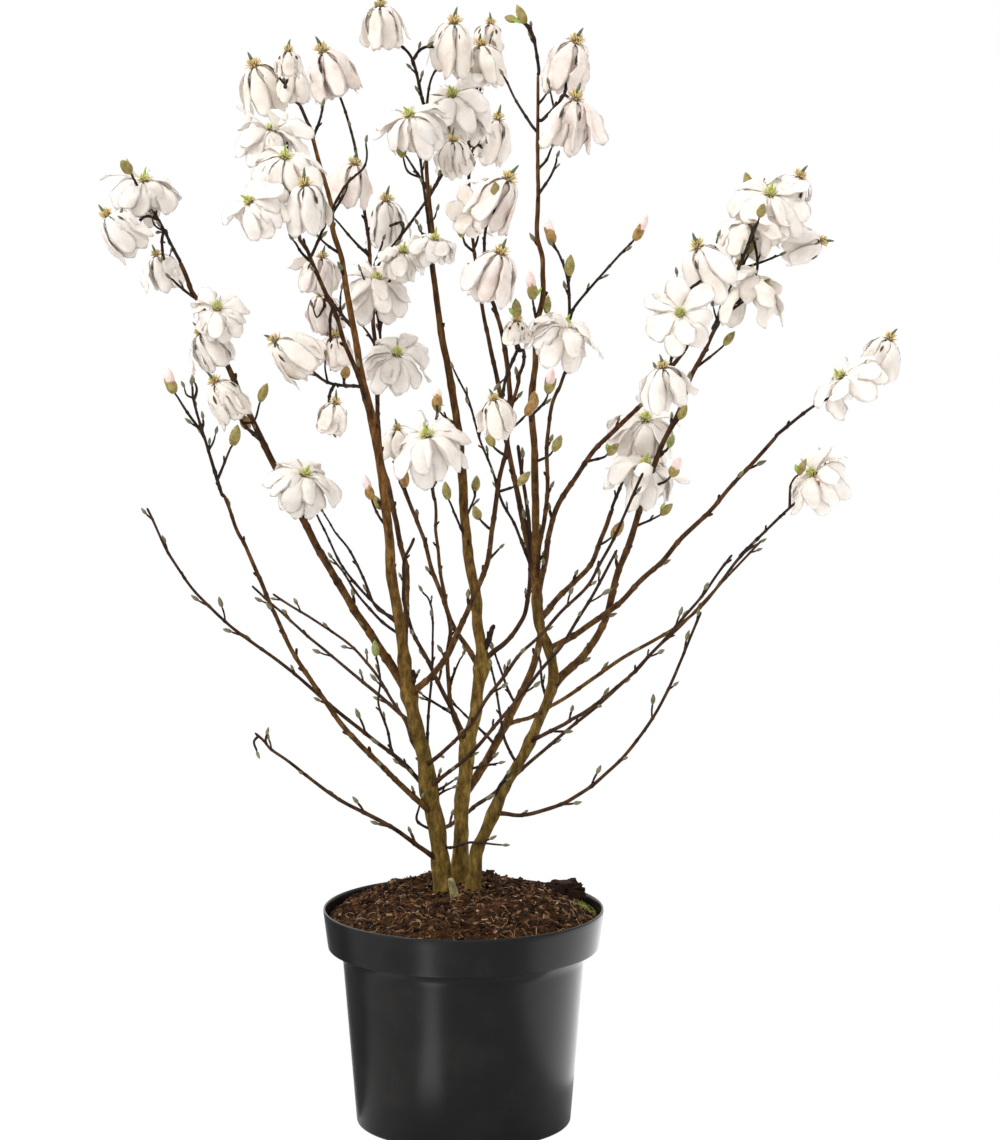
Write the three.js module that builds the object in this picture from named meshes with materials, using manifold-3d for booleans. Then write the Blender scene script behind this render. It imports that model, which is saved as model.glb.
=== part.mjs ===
// A star magnolia in its black nursery pot, late in blossom: three leaning stems, their boughs,
// long bare shoots with winter buds, and sprays that carry the blossoms.
// Millimetres, +Z up. The origin is the centre of the pot's flat underside.

import * as THREE from "three";
import { mergeVertices } from "three/addons/utils/BufferGeometryUtils.js";
import Module from "manifold-3d";

const wasm = await Module();
wasm.setup();

// ---------------------------------------------------------------- driving dimensions

const GAP = 0.3; // between touching pieces
const SLIVER = 0.1; // details finer than this are smoothed away where solids join
const GRID = 0.001; // corners of joined solids lie on a grid this fine

const POT_HEIGHT = 222;
const POT_FOOT_RADIUS = 109;
const POT_WALL_TOP_RADIUS = 123.2;
const POT_BAND_HEIGHT = 40;
const POT_BAND_FOOT_RADIUS = 137.2;
const POT_RIM_RADIUS = 141.8;
const POT_WALL = 1.8;
const POT_FLOOR = 3;
const POT_CORNER = 7;
const POT_LIP = 1; // the rim's top edge is drawn in by this much
const POT_SIDES = 30;
const NOTCHES = 8;
const NOTCH_WIDTH = 13;
const NOTCH_HEIGHT = 7;
const NOTCH_DEPTH = 9;
const NOTCH_SIDES = 8;
const FIRST_NOTCH_TURN = 33; // degrees round from the front, towards +X

const SOIL_TOP = 236;
const SOIL_FLAT_RADIUS = 58;
const SOIL_SHOULDER_RADIUS = 100;
const SOIL_SHOULDER = 228;
const SOIL_EDGE = 210;
const SOIL_SIDES = POT_SIDES;
const SOIL_RINGS = [120, SOIL_SHOULDER_RADIUS, 80, SOIL_FLAT_RADIUS, 0];
const SOIL_LUMP = 3.2; // the soil's rings rise and fall by up to half of this
const CLOD = { across: 106, depth: 42, height: 229, length: 42, width: 24, thickness: 22, turn: 0.25 };

const STUB = { across: -8, depth: -22, height: 21, footDiameter: 11, cutDiameter: 8, lean: 5, sides: 8 };

const ROOT_FLARE = 0.55; // share by which a stem swells at the soil
const ROOT_FLARE_HEIGHT = 26;
const STEM_SIDES = 8;
const STEM_RINGS = 16;
const BOUGH_SIDES = 5;
const SHOOT_SIDES = 3;
const TWIG_SIDES = 3;
const TWIG_RING_SPACING = 50;

const TEPAL_LENGTH = 62;
const TEPAL_THICKNESS = 1.6;
const TEPALS = 7;
const SMALL_BLOSSOM = 0.72; // blossoms below this size have fewer tepals
const SMALL_BLOSSOM_TEPALS = 6;
const LEAST_GIRTH = 0.6; // smaller blossoms are shorter than this size, but no slimmer
const RECEPTACLE_RADIUS = 6.5;
const SPIKE_LENGTH = 17;
const TEPAL_FOOT = 1.2; // a tepal's point lies this far from its blossom's axis, inside the receptacle
const TEPAL_TURN = 0.25; // radians by which a tepal may stand off its even place in the ring
const INNER_TEPAL = 0.1; // every second tepal is shorter by this share,
const TEPAL_VARIETY = 0.1; // and each one by up to this much more

// Where a tepal's middle and tip are, out from the blossom's axis and up along it, in shares of its
// length, with what every second tepal adds to each
const SPENT_TEPAL = { width: 18, out: 0.4, innerOut: -0.07, rise: -0.48, innerRise: 0,
  tipOut: 0.34, tipVariety: 0.12, tipRise: -0.94, innerTipRise: 0 };
const OPEN_TEPAL = { width: 24, out: 0.5, innerOut: 0, rise: 0.1, innerRise: 0.12,
  tipOut: 0.92, tipVariety: 0, tipRise: 0.02, innerTipRise: 0.2 };

// A blossom's own space: how far along its axis the middle is, and how far it reaches, in tepals
const SPENT_SPACE = { middle: -0.45, reach: 0.6 };
const OPEN_SPACE = { middle: 0, reach: 0.9 };
const SPENT_FACING = { lean: 0.22, towards: new THREE.Vector3(0, 0, 1) };
const OPEN_FACING = { lean: 0.4, towards: new THREE.Vector3(0, -0.75, 0.65) };

const TWIG_DIAMETER = 3.6;
const STALK_DIAMETER = 3.4;
const TWIG_TIP_DIAMETER = 2.2;
const STRAIGHT_START = 7; // a twig goes straight on from its limb at first,
const STALK_SWING = 0.35; // turns towards its blossom after this share of the distance,
const STALK_RISE = 26; // and comes up into it from below
const OPEN_STALK_RISE = 16;
const SHOOT_BOW = 0.5;
const SIDE_LEAN = 0.5; // how far a side spray leans along the limb that it leaves
const FORK_SHARE = 0.5; // a stalk leaves the leader this far along the way to its own blossom,
const LOWEST_FORK = 0.14; // between these shares of the leader's way
const HIGHEST_FORK = 0.6;

const BUD_LENGTH = 22;
const BUD_WIDTH = 9.5;
const BUD_WIDEST = 0.4; // share of its length where a bud is widest
const BUD_SINK = 0.1; // share of its length by which its foot is sunk in its twig
const BUD_TWIG_LENGTH = 24;
const BUD_TWIG_VARIETY = 14;
const BUD_TWIG_FIRST = 0.3; // share of the leader's way where the first bud twig may leave it
const BUD_TWIG_SPAN = 0.4;
const SHOOT_BUD_LENGTH = 12;
const SHOOT_BUD_WIDTH = 5.5;
const SHOOT_BUD_SPACING = 78;
const SHOOT_BUD_LEAN = 0.8;
const SHOOT_END_BUD = 1.2; // the bud that ends a shoot is longer by this factor
const GOLDEN_ANGLE = Math.PI * (3 - Math.sqrt(5));

// Places on the plant are set out on an elevation sheet: "across" from the pot's axis and "up"
// from its foot, on a plane square to the sight line from a station in front of the plant.
// "Depth" is how far a place lies behind the pot's axis.
const STATION = new THREE.Vector3(37, -4000, 1156);
const SHEET_CENTRE = new THREE.Vector3(37, 0, 567);
const SHEET_CENTRE_UP = 550;

// ---------------------------------------------------------------- the plant's parts

// Stems: name, foot on the soil (across, depth), diameters at foot and tip, way up to the tip
const STEMS = [
  ["stem_left", [-20, 15], 15, 3.4, [
    [-28, 300, 14], [-51, 420, 6], [-69, 540, -6], [-84, 660, -22], [-112, 805, -40], [-132, 910, -52],
    [-151, 985, -62]]],
  ["stem_middle", [-3, 40], 15, 3.2, [
    [-3, 285, 40], [4, 370, 46], [19, 455, 54], [9, 550, 66], [-4, 670, 80], [-24, 810, 96],
    [-34, 905, 108], [-38, 1010, 122]]],
  ["stem_right", [9, 8], 12, 2.8, [
    [16, 275, 7], [42, 333, 0], [74, 393, -8], [89, 442, -12], [75, 515, -16], [70, 660, -18],
    [72, 770, -18], [81, 842, -14], [75, 900, -10], [75, 1045, -4]]],
];

// Boughs: name, parent, how far up it leaves the parent, diameters, way to the tip
const BOUGHS = [
  ["bough_left_front", "stem_left", 305, 6, 3.2, [
    [-83, 355, -30], [-143, 424, -70], [-201, 532, -120], [-239, 625, -150]]],
  ["bough_far_left", "stem_left", 428, 9, 4.4, [
    [-103, 503, 34], [-158, 595, 60], [-213, 705, 72], [-258, 802, 80], [-283, 858, 86]]],
  ["bough_left_fork", "stem_left", 700, 5, 3.6, [[-121, 787, -80], [-153, 858, -118], [-166, 890, -135]]],
  ["bough_back_left", "stem_left", 455, 6, 3.8, [
    [-59, 560, 60], [-79, 655, 110], [-89, 772, 160], [-94, 880, 200]]],
  ["bough_front", "stem_left", 424, 6.5, 3.4, [
    [-13, 468, -42], [21, 553, -90], [39, 650, -135], [50, 725, -165], [59, 752, -178]]],
  ["bough_front_tall", "bough_front", 705, 5, 3.8, [[42, 755, -150], [35, 795, -162], [27, 825, -178]]],
  ["bough_centre_front", "stem_middle", 363, 4.6, 3, [
    [-12, 420, 52], [-14, 490, 22], [-22, 560, -45], [-28, 620, -105]]],
  ["bough_centre_back", "stem_middle", 450, 5.2, 4, [[-13, 500, 100], [-36, 572, 150], [-59, 630, 190]]],
  ["bough_inner_right", "stem_middle", 325, 8.5, 3.2, [
    [27, 365, 72], [74, 470, 125], [68, 563, 160], [51, 650, 190], [34, 745, 215], [18, 820, 232],
    [8, 895, 245]]],
  ["bough_right_front", "stem_right", 540, 4.6, 3.4, [[83, 620, -70], [85, 700, -120], [102, 748, -150]]],
  ["bough_right_long", "stem_right", 520, 5.6, 4, [
    [93, 605, -60], [137, 675, -120], [189, 727, -170], [222, 770, -195]]],
  ["bough_right_back", "stem_right", 500, 6, 4.5, [[124, 552, 70], [149, 610, 120]]],
  ["bough_far_right", "stem_right", 435, 8, 3.4, [
    [137, 485, 30], [162, 565, 45], [200, 675, 55], [239, 765, 60], [264, 822, 62], [281, 868, 64]]],
  ["bough_right_spread", "stem_right", 470, 6, 3.6, [
    [140, 503, -50], [194, 555, -80], [254, 617, -100], [313, 683, -115]]],
  ["bough_right_low", "bough_inner_right", 395, 4.4, 3.2, [
    [89, 414, 140], [157, 460, 170], [227, 505, 190], [277, 563, 205]]],
];

// Shoots: long thin twigs with small winter buds, set out as the boughs are
const SHOOTS = [
  ["shoot_low_left", "stem_left", 258, 5.4, 2.6, [
    [-68, 291, -22], [-123, 319, -42], [-178, 361, -60], [-208, 387, -66]]],
  ["shoot_left_outer", "stem_left", 328, 4.4, 2.4, [
    [-69, 365, 34], [-143, 424, 22], [-213, 480, 10], [-280, 543, 0], [-316, 612, -5]]],
  ["shoot_left_middle", "stem_left", 393, 3.8, 2.4, [[-117, 452, 80], [-173, 500, 130], [-211, 534, 160]]],
  ["shoot_left_back", "stem_left", 340, 3.8, 2.4, [[-50, 380, 60], [-100, 462, 150], [-190, 526, 230]]],
  ["shoot_inner_left", "stem_middle", 377, 5, 3, [
    [-26, 438, 8], [-52, 495, -48], [-60, 545, -75], [-49, 582, -92]]],
  ["shoot_inner_right", "stem_middle", 458, 5, 3.4, [[54, 492, 42], [69, 550, 30], [55, 675, 14]]],
  ["shoot_cross_near", "stem_left", 332, 4.2, 2.8, [
    [-3, 357, -38], [62, 428, -72], [109, 490, -92], [154, 570, -110]]],
  ["shoot_cross_far", "stem_left", 354, 4.2, 2.6, [
    [0, 387, -70], [57, 464, -135], [129, 542, -190], [180, 647, -235]]],
  ["shoot_right_front", "stem_right", 378, 4.2, 2.4, [[124, 410, -90], [192, 470, -150], [269, 565, -210]]],
  ["shoot_right_back", "stem_left", 288, 4.4, 2.4, [
    [-2, 303, 92], [60, 352, 132], [182, 458, 200], [299, 580, 265]]],
  ["shoot_low_right", "stem_right", 307, 4.2, 2.6, [
    [72, 307, -30], [127, 333, -60], [192, 402, -90], [238, 508, -110]]],
];

// Sprays: name, bough, how far up it leaves the bough (null: at its tip), big buds, and its
// blossoms as [across, up, depth, size, kind]. A spent blossom hangs as a bell, an open one is a
// star that faces its own way, and a shoot tip is a bare twig that ends in a bud.
const SPRAYS = [
  ["spray_left_front", "bough_left_front", null, 2, [
    [-289, 727, -175, 1, "shoot"], [-231, 667, -185, 1, "shoot"], [-300, 748, -140, 1, "shoot"]]],
  ["spray_far_left_top", "bough_far_left", null, 0, [
    [-311, 938, 96, 1, "spent"], [-346, 910, 60, 1, "spent"], [-306, 864, 140, 0.72, "spent"],
    [-330, 948, 110, 1, "shoot"]]],
  ["spray_far_left_upper", "bough_far_left", 790, 0, [
    [-246, 812, 20, 0.6, "open"], [-251, 782, 48, 0.6, "spent"]]],
  ["spray_far_left_middle", "bough_far_left", 680, 2, [[-247, 737, 10, 0.85, "spent"]]],
  ["spray_far_left_lower", "bough_far_left", 600, 1, [[-166, 634, -10, 0.72, "open"]]],
  ["spray_left_fork", "bough_left_fork", null, 0, [
    [-178, 962, -150, 0.85, "spent"], [-213, 918, -175, 0.8, "spent"], [-158, 932, -95, 1, "spent"],
    [-200, 992, -90, 0.62, "spent"]]],
  ["spray_left_top", "stem_left", null, 0, [
    [-168, 1050, -40, 0.62, "spent"], [-208, 1053, -10, 0.95, "spent"], [-175, 1068, -105, 0.45, "spent"]]],
  ["spray_left_side", "stem_left", 790, 0, [
    [-141, 862, -10, 0.7, "spent"], [-142, 824, 30, 0.75, "spent"], [-127, 783, 20, 0.6, "spent"]]],
  ["spray_left_inner", "bough_left_fork", 735, 0, [
    [-186, 778, -150, 0.9, "spent"], [-118, 744, -100, 1, "shoot"], [-128, 716, -150, 0.55, "spent"]]],
  ["spray_back_left_top", "bough_back_left", null, 0, [
    [-140, 1068, 190, 1, "spent"], [-109, 955, 150, 0.85, "spent"]]],
  ["spray_back_middle_top", "bough_back_left", 850, 0, [
    [3, 1032, 195, 0.85, "spent"], [-77, 918, 255, 0.95, "spent"]]],
  ["spray_back_left_side", "bough_back_left", 715, 0, [
    [-86, 833, 95, 0.68, "open"], [-66, 766, 80, 0.68, "open"]]],
  ["spray_middle_top", "stem_middle", null, 0, [
    [-82, 1113, 90, 0.8, "spent"], [-9, 1096, 130, 1, "spent"]]],
  ["spray_middle_side", "stem_middle", 850, 1, [
    [-53, 1000, 60, 0.9, "spent"], [-28, 874, 40, 0.6, "spent"]]],
  ["spray_inner_right_top", "bough_inner_right", null, 0, [
    [18, 1072, 255, 0.85, "spent"], [32, 997, 290, 0.85, "spent"], [25, 1094, 205, 0.55, "spent"],
    [-10, 977, 215, 0.7, "spent"], [-3, 914, 200, 0.5, "open"]]],
  ["spray_front_tall", "bough_front_tall", null, 1, [
    [44, 940, -215, 0.95, "spent"], [32, 866, -245, 0.9, "spent"]]],
  ["spray_front", "bough_front", null, 1, [
    [54, 798, -208, 0.4, "spent"], [32, 715, -222, 0.8, "spent"]]],
  ["spray_centre_front", "bough_centre_front", null, 1, [
    [-36, 684, -170, 0.85, "spent"], [-26, 715, -110, 1, "shoot"]]],
  ["spray_centre_back", "bough_centre_back", null, 1, [[-66, 690, 215, 0.6, "spent"]]],
  ["spray_right_tip", "stem_right", null, 0, [[62, 1098, -6, 1, "shoot"], [52, 1100, 16, 0.8, "shoot"]]],
  ["spray_right_top", "stem_right", 1000, 0, [
    [112, 1077, 12, 1, "spent"], [112, 1020, -50, 1, "spent"]]],
  ["spray_right_front", "bough_right_front", null, 1, [
    [90, 878, -140, 1, "shoot"], [102, 788, -200, 0.75, "open"], [167, 880, -190, 1, "shoot"]]],
  ["spray_right_long", "bough_right_long", null, 0, [
    [220, 806, -240, 0.55, "open"], [236, 872, -180, 1, "spent"], [206, 750, -260, 0.85, "spent"]]],
  ["spray_right_back", "bough_right_back", null, 1, [
    [182, 702, 180, 0.9, "spent"], [178, 650, 110, 0.75, "spent"]]],
  ["spray_far_right_side", "bough_far_right", 790, 1, [
    [290, 842, 20, 0.75, "spent"], [294, 902, -10, 1, "spent"]]],
  ["spray_far_right_top", "bough_far_right", null, 0, [
    [307, 925, 90, 0.65, "open"], [336, 942, 40, 0.95, "spent"], [350, 880, 110, 0.8, "spent"]]],
  ["spray_right_spread", "bough_right_spread", null, 0, [
    [384, 738, -120, 0.65, "open"], [426, 780, -80, 0.8, "spent"]]],
  ["spray_right_low", "bough_right_low", null, 0, [[358, 638, 225, 0.7, "open"]]],
];

// ---------------------------------------------------------------- finishes

const FINISHES = {
  pot: { color: 0x2a2b2c, roughness: 0.42 },
  soil: { color: 0x3a2419, roughness: 0.95 },
  stub: { color: 0x9a9255, roughness: 0.7 },
  stem: { color: 0x5a4a2a, roughness: 0.8 },
  bough: { color: 0x4a2a1c, roughness: 0.75 },
  shoot: { color: 0x30221c, roughness: 0.75 },
  spray: { color: 0xf1e8e2, roughness: 0.6 },
};

function finish(name) {
  return new THREE.MeshStandardMaterial({ ...FINISHES[name], metalness: 0 });
}

// ---------------------------------------------------------------- setting out

const sightLine = SHEET_CENTRE.clone().sub(STATION).normalize();
const sheetUp = new THREE.Vector3(1, 0, 0).cross(sightLine).normalize();
const sheetDistance = SHEET_CENTRE.distanceTo(STATION);

function placeOf(across, up, depth) {
  const onSheet = SHEET_CENTRE.clone();
  onSheet.x += across - SHEET_CENTRE.x;
  onSheet.addScaledVector(sheetUp, up - SHEET_CENTRE_UP);
  const sight = onSheet.sub(STATION);
  return STATION.clone().addScaledVector(sight, (depth - STATION.y) / sight.y);
}

function heightOnSheet(place) {
  const sight = place.clone().sub(STATION);
  return SHEET_CENTRE_UP + (sight.dot(sheetUp) * sheetDistance) / sight.dot(sightLine);
}

function shareAtHeight(curve, up) {
  let low = 0;
  let high = 1;
  for (let step = 0; step < 30; step += 1) {
    const middle = (low + high) / 2;
    if (heightOnSheet(curve.getPoint(middle)) < up) low = middle;
    else high = middle;
  }
  return low;
}

// A repeatable number from 0 to 1 for each seed and draw
function chance(seed, draw) {
  const wave = Math.sin(seed * 12.9898 + draw * 78.233) * 43758.5453;
  return wave - Math.floor(wave);
}

function smoothCurve(places) {
  return new THREE.CatmullRomCurve3(places, false, "catmullrom", 0.5);
}

// ---------------------------------------------------------------- solids

function solidOf(geometry) {
  const bare = new THREE.BufferGeometry();
  bare.setAttribute("position", geometry.getAttribute("position"));
  if (geometry.index) bare.setIndex(geometry.index);
  const merged = mergeVertices(bare, 1e-4);
  return new wasm.Manifold(new wasm.Mesh({
    numProp: 3,
    vertProperties: new Float32Array(merged.getAttribute("position").array),
    triVerts: new Uint32Array(merged.index.array),
  }));
}

function geometryOf(solid) {
  const mesh = solid.getMesh();
  const geometry = new THREE.BufferGeometry();
  geometry.setAttribute("position", new THREE.BufferAttribute(mesh.vertProperties, 3));
  geometry.setIndex(new THREE.BufferAttribute(mesh.triVerts, 1));
  geometry.computeVertexNormals();
  return geometry;
}

// A solid with its corners on a fine grid, so that corners which all but meet become one
function onGrid(solid) {
  const geometry = geometryOf(solid);
  const places = geometry.getAttribute("position");
  for (let i = 0; i < places.array.length; i += 1) {
    places.array[i] = Math.round(places.array[i] / GRID) * GRID;
  }
  return solidOf(geometry);
}

// The largest body of a fused solid, without the slivers that a join leaves: loose scraps go,
// and a sealed hollow is filled
function mainBody(solid) {
  const bodies = onGrid(solid.asOriginal().simplify(SLIVER)).decompose();
  return bodies.reduce((best, body) => (body.volume() > best.volume() ? body : best));
}

function boxesTouch(first, second) {
  const a = first.boundingBox();
  const b = second.boundingBox();
  return [0, 1, 2].every((axis) => a.min[axis] <= b.max[axis] && b.min[axis] <= a.max[axis]);
}

function solidsTouch(first, second) {
  return boxesTouch(first, second) && !first.intersect(second).isEmpty();
}

// A tapering limb: a cylinder bent along a curve, with its radius given for each share of the way
function limbGeometry(curve, radiusAt, sides, rings) {
  const geometry = new THREE.CylinderGeometry(1, 1, 1, sides, rings);
  const frames = curve.computeFrenetFrames(rings, false);
  const places = geometry.getAttribute("position");
  const onCylinder = new THREE.Vector3();
  for (let i = 0; i < places.count; i += 1) {
    onCylinder.fromBufferAttribute(places, i);
    const ring = Math.round((onCylinder.y + 0.5) * rings);
    const share = ring / rings;
    const place = curve.getPoint(curve.getUtoTmapping(share));
    place.addScaledVector(frames.normals[ring], onCylinder.z * radiusAt(share));
    place.addScaledVector(frames.binormals[ring], onCylinder.x * radiusAt(share));
    places.setXYZ(i, place.x, place.y, place.z);
  }
  return geometry;
}

function limbSolid(curve, radiusAt, sides, rings) {
  return solidOf(limbGeometry(curve, radiusAt, sides, rings));
}

// The middle of a limb at a share of its way: on the straight stretch between two of its rings
function middleOf({ curve, rings }, share) {
  const ring = Math.min(Math.floor(share * rings), rings - 1);
  const from = curve.getPointAt(ring / rings);
  const to = curve.getPointAt((ring + 1) / rings);
  const along = to.clone().sub(from).normalize();
  return { place: from.lerp(to, share * rings - ring), along };
}

function taper(footDiameter, tipDiameter) {
  return (share) => THREE.MathUtils.lerp(footDiameter, tipDiameter, share) / 2;
}

function widerBy(radiusAt, extra) {
  return (share) => radiusAt(share) + extra;
}

// A small pointed body, eight faces, along a direction: a bud, or a blossom's receptacle and spike
function spindle(middle, along, ahead, behind, width) {
  const solid = new THREE.OctahedronGeometry(1);
  const places = solid.getAttribute("position");
  const turn = new THREE.Quaternion().setFromUnitVectors(new THREE.Vector3(0, 1, 0), along);
  const corner = new THREE.Vector3();
  for (let i = 0; i < places.count; i += 1) {
    corner.fromBufferAttribute(places, i);
    corner.set(corner.x * width / 2, corner.y * (corner.y > 0 ? ahead : behind), corner.z * width / 2);
    corner.applyQuaternion(turn).add(middle);
    places.setXYZ(i, corner.x, corner.y, corner.z);
  }
  return solidOf(solid);
}

// ---------------------------------------------------------------- pot, soil and stub

function potSolid() {
  const corner = new THREE.Vector2(POT_FOOT_RADIUS - POT_CORNER, POT_CORNER);
  const profile = [new THREE.Vector2(0, 0)];
  for (let step = 0; step <= 2; step += 1) {
    const turn = (step / 2) * (Math.PI / 2);
    profile.push(new THREE.Vector2(
      corner.x + POT_CORNER * Math.sin(turn),
      corner.y - POT_CORNER * Math.cos(turn),
    ));
  }
  const bandFoot = POT_HEIGHT - POT_BAND_HEIGHT;
  profile.push(new THREE.Vector2(POT_WALL_TOP_RADIUS, bandFoot));
  profile.push(new THREE.Vector2(POT_BAND_FOOT_RADIUS, bandFoot));
  profile.push(new THREE.Vector2(POT_RIM_RADIUS, POT_HEIGHT - 2 * POT_LIP));
  profile.push(new THREE.Vector2(POT_RIM_RADIUS - POT_LIP, POT_HEIGHT));
  profile.push(new THREE.Vector2(POT_RIM_RADIUS - POT_LIP - POT_WALL, POT_HEIGHT));
  profile.push(new THREE.Vector2(POT_BAND_FOOT_RADIUS - POT_WALL, bandFoot + POT_WALL));
  profile.push(new THREE.Vector2(POT_WALL_TOP_RADIUS - POT_WALL, bandFoot + POT_WALL));
  profile.push(new THREE.Vector2(POT_FOOT_RADIUS - POT_WALL, POT_CORNER));
  profile.push(new THREE.Vector2(corner.x, POT_FLOOR));
  profile.push(new THREE.Vector2(0, POT_FLOOR));
  let pot = solidOf(standUp(new THREE.LatheGeometry(profile, POT_SIDES)));
  for (let i = 0; i < NOTCHES; i += 1) {
    const turn = THREE.MathUtils.degToRad(FIRST_NOTCH_TURN + (i * 360) / NOTCHES);
    const notch = new THREE.CylinderGeometry(NOTCH_WIDTH / 2, NOTCH_WIDTH / 2, NOTCH_DEPTH, NOTCH_SIDES);
    notch.scale(1, 1, (2 * NOTCH_HEIGHT) / NOTCH_WIDTH);
    notch.translate(0, -POT_FOOT_RADIUS, 0);
    notch.rotateZ(turn);
    pot = pot.subtract(solidOf(notch));
  }
  return pot;
}

// A lathe turns about +Y: this stands it up about +Z
function standUp(geometry) {
  return geometry.rotateX(Math.PI / 2);
}

// How high the soil's top lies at a distance from the pot's axis
function soilHeight(radius) {
  if (radius <= SOIL_FLAT_RADIUS) return SOIL_TOP;
  if (radius <= SOIL_SHOULDER_RADIUS) {
    const share = (radius - SOIL_FLAT_RADIUS) / (SOIL_SHOULDER_RADIUS - SOIL_FLAT_RADIUS);
    return THREE.MathUtils.lerp(SOIL_TOP, SOIL_SHOULDER, share * share);
  }
  const wallRadius = POT_RIM_RADIUS - POT_WALL;
  const share = (radius - SOIL_SHOULDER_RADIUS) / (wallRadius - SOIL_SHOULDER_RADIUS);
  return THREE.MathUtils.lerp(SOIL_SHOULDER, SOIL_EDGE, share);
}

// The soil's top rises and falls outside the flat that the stems stand on
function makeLumpy(geometry) {
  const places = geometry.getAttribute("position");
  for (let i = 0; i < places.count; i += 1) {
    const radius = Math.hypot(places.getX(i), places.getY(i));
    if (radius > SOIL_FLAT_RADIUS + 1 && places.getZ(i) > SOIL_EDGE + 1) {
      const turn = Math.atan2(places.getY(i), places.getX(i)) / (2 * Math.PI);
      const column = Math.round((turn + 1) * SOIL_SIDES) % SOIL_SIDES;
      places.setZ(i, places.getZ(i) + (chance(column, Math.round(radius)) - 0.5) * SOIL_LUMP);
    }
  }
}

function soilSolid() {
  const bandFoot = POT_HEIGHT - POT_BAND_HEIGHT;
  const wallTop = POT_WALL_TOP_RADIUS - POT_WALL - GAP;
  const bandRadius = POT_BAND_FOOT_RADIUS - POT_WALL - GAP;
  const edgeShare = (SOIL_EDGE - bandFoot) / POT_BAND_HEIGHT;
  const edgeRadius = THREE.MathUtils.lerp(bandRadius, POT_RIM_RADIUS - POT_LIP - POT_WALL - GAP, edgeShare);
  const profile = [
    new THREE.Vector2(0, POT_FLOOR + GAP),
    new THREE.Vector2(POT_FOOT_RADIUS - POT_CORNER - GAP, POT_FLOOR + GAP),
    new THREE.Vector2(POT_FOOT_RADIUS - POT_WALL - GAP, POT_CORNER + GAP),
    new THREE.Vector2(wallTop, bandFoot + POT_WALL + GAP),
    new THREE.Vector2(bandRadius, bandFoot + POT_WALL + GAP),
    new THREE.Vector2(edgeRadius, SOIL_EDGE),
  ];
  SOIL_RINGS.forEach((radius) => profile.push(new THREE.Vector2(radius, soilHeight(radius))));
  const geometry = standUp(new THREE.LatheGeometry(profile, SOIL_SIDES));
  makeLumpy(geometry);
  const clod = new THREE.DodecahedronGeometry(0.5);
  clod.scale(CLOD.length, CLOD.width, CLOD.thickness);
  clod.rotateZ(CLOD.turn);
  clod.translate(CLOD.across, CLOD.depth, CLOD.height);
  return mainBody(solidOf(geometry).add(solidOf(clod)));
}

function stubSolid() {
  const foot = new THREE.Vector3(STUB.across, STUB.depth, SOIL_TOP + GAP);
  const top = foot.clone().add(new THREE.Vector3(-STUB.lean, -1, STUB.height));
  const curve = smoothCurve([foot, foot.clone().lerp(top, 0.5), top]);
  const geometry = limbGeometry(curve, taper(STUB.footDiameter, STUB.cutDiameter), STUB.sides, 2);
  levelFoot(geometry, curve);
  return solidOf(geometry);
}

// ---------------------------------------------------------------- stems and boughs

const limbs = new Map(); // name -> { curve, solid, clear: the solid grown by GAP }

// The foot of a stem is cut flat at the soil
function levelFoot(geometry, curve) {
  const foot = curve.getPoint(0);
  const along = curve.getTangent(0);
  const places = geometry.getAttribute("position");
  const place = new THREE.Vector3();
  for (let i = 0; i < places.count; i += 1) {
    place.fromBufferAttribute(places, i);
    if (Math.abs(place.clone().sub(foot).dot(along)) < 1e-3) places.setZ(i, foot.z);
  }
}

function stemSolid(curve, radiusAt, length) {
  const swell = (share) => 1 + ROOT_FLARE * Math.exp((-share * length) / ROOT_FLARE_HEIGHT);
  const flared = (share) => radiusAt(share) * swell(share);
  const geometry = limbGeometry(curve, flared, STEM_SIDES, STEM_RINGS);
  levelFoot(geometry, curve);
  return { solid: solidOf(geometry), flared };
}

function growStem([name, foot, footDiameter, tipDiameter, way]) {
  const start = new THREE.Vector3(foot[0], foot[1], SOIL_TOP + GAP);
  const curve = smoothCurve([start, ...way.map((place) => placeOf(...place))]);
  const { solid, flared } = stemSolid(curve, taper(footDiameter, tipDiameter), curve.getLength());
  limbs.set(name, {
    curve,
    rings: STEM_RINGS,
    solid,
    clear: limbSolid(curve, widerBy(flared, GAP), STEM_SIDES, STEM_RINGS),
  });
}

function growBough([name, parentName, up, footDiameter, tipDiameter, way], sides) {
  const parent = limbs.get(parentName);
  const start = parent.curve.getPoint(shareAtHeight(parent.curve, up));
  const curve = smoothCurve([start, ...way.map((place) => placeOf(...place))]);
  const rings = way.length + 4;
  const radiusAt = taper(footDiameter, tipDiameter);
  const solid = mainBody(limbSolid(curve, radiusAt, sides, rings).subtract(parent.clear));
  const clear = limbSolid(curve, widerBy(radiusAt, GAP), sides, rings);
  limbs.set(name, { curve, rings, solid, clear });
}

// ---------------------------------------------------------------- shoots

function bud(place, along, length, width) {
  const middle = place.clone().addScaledVector(along, length * BUD_WIDEST);
  return spindle(middle, along, length * (1 - BUD_WIDEST), length * (BUD_WIDEST + BUD_SINK), width);
}

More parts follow.
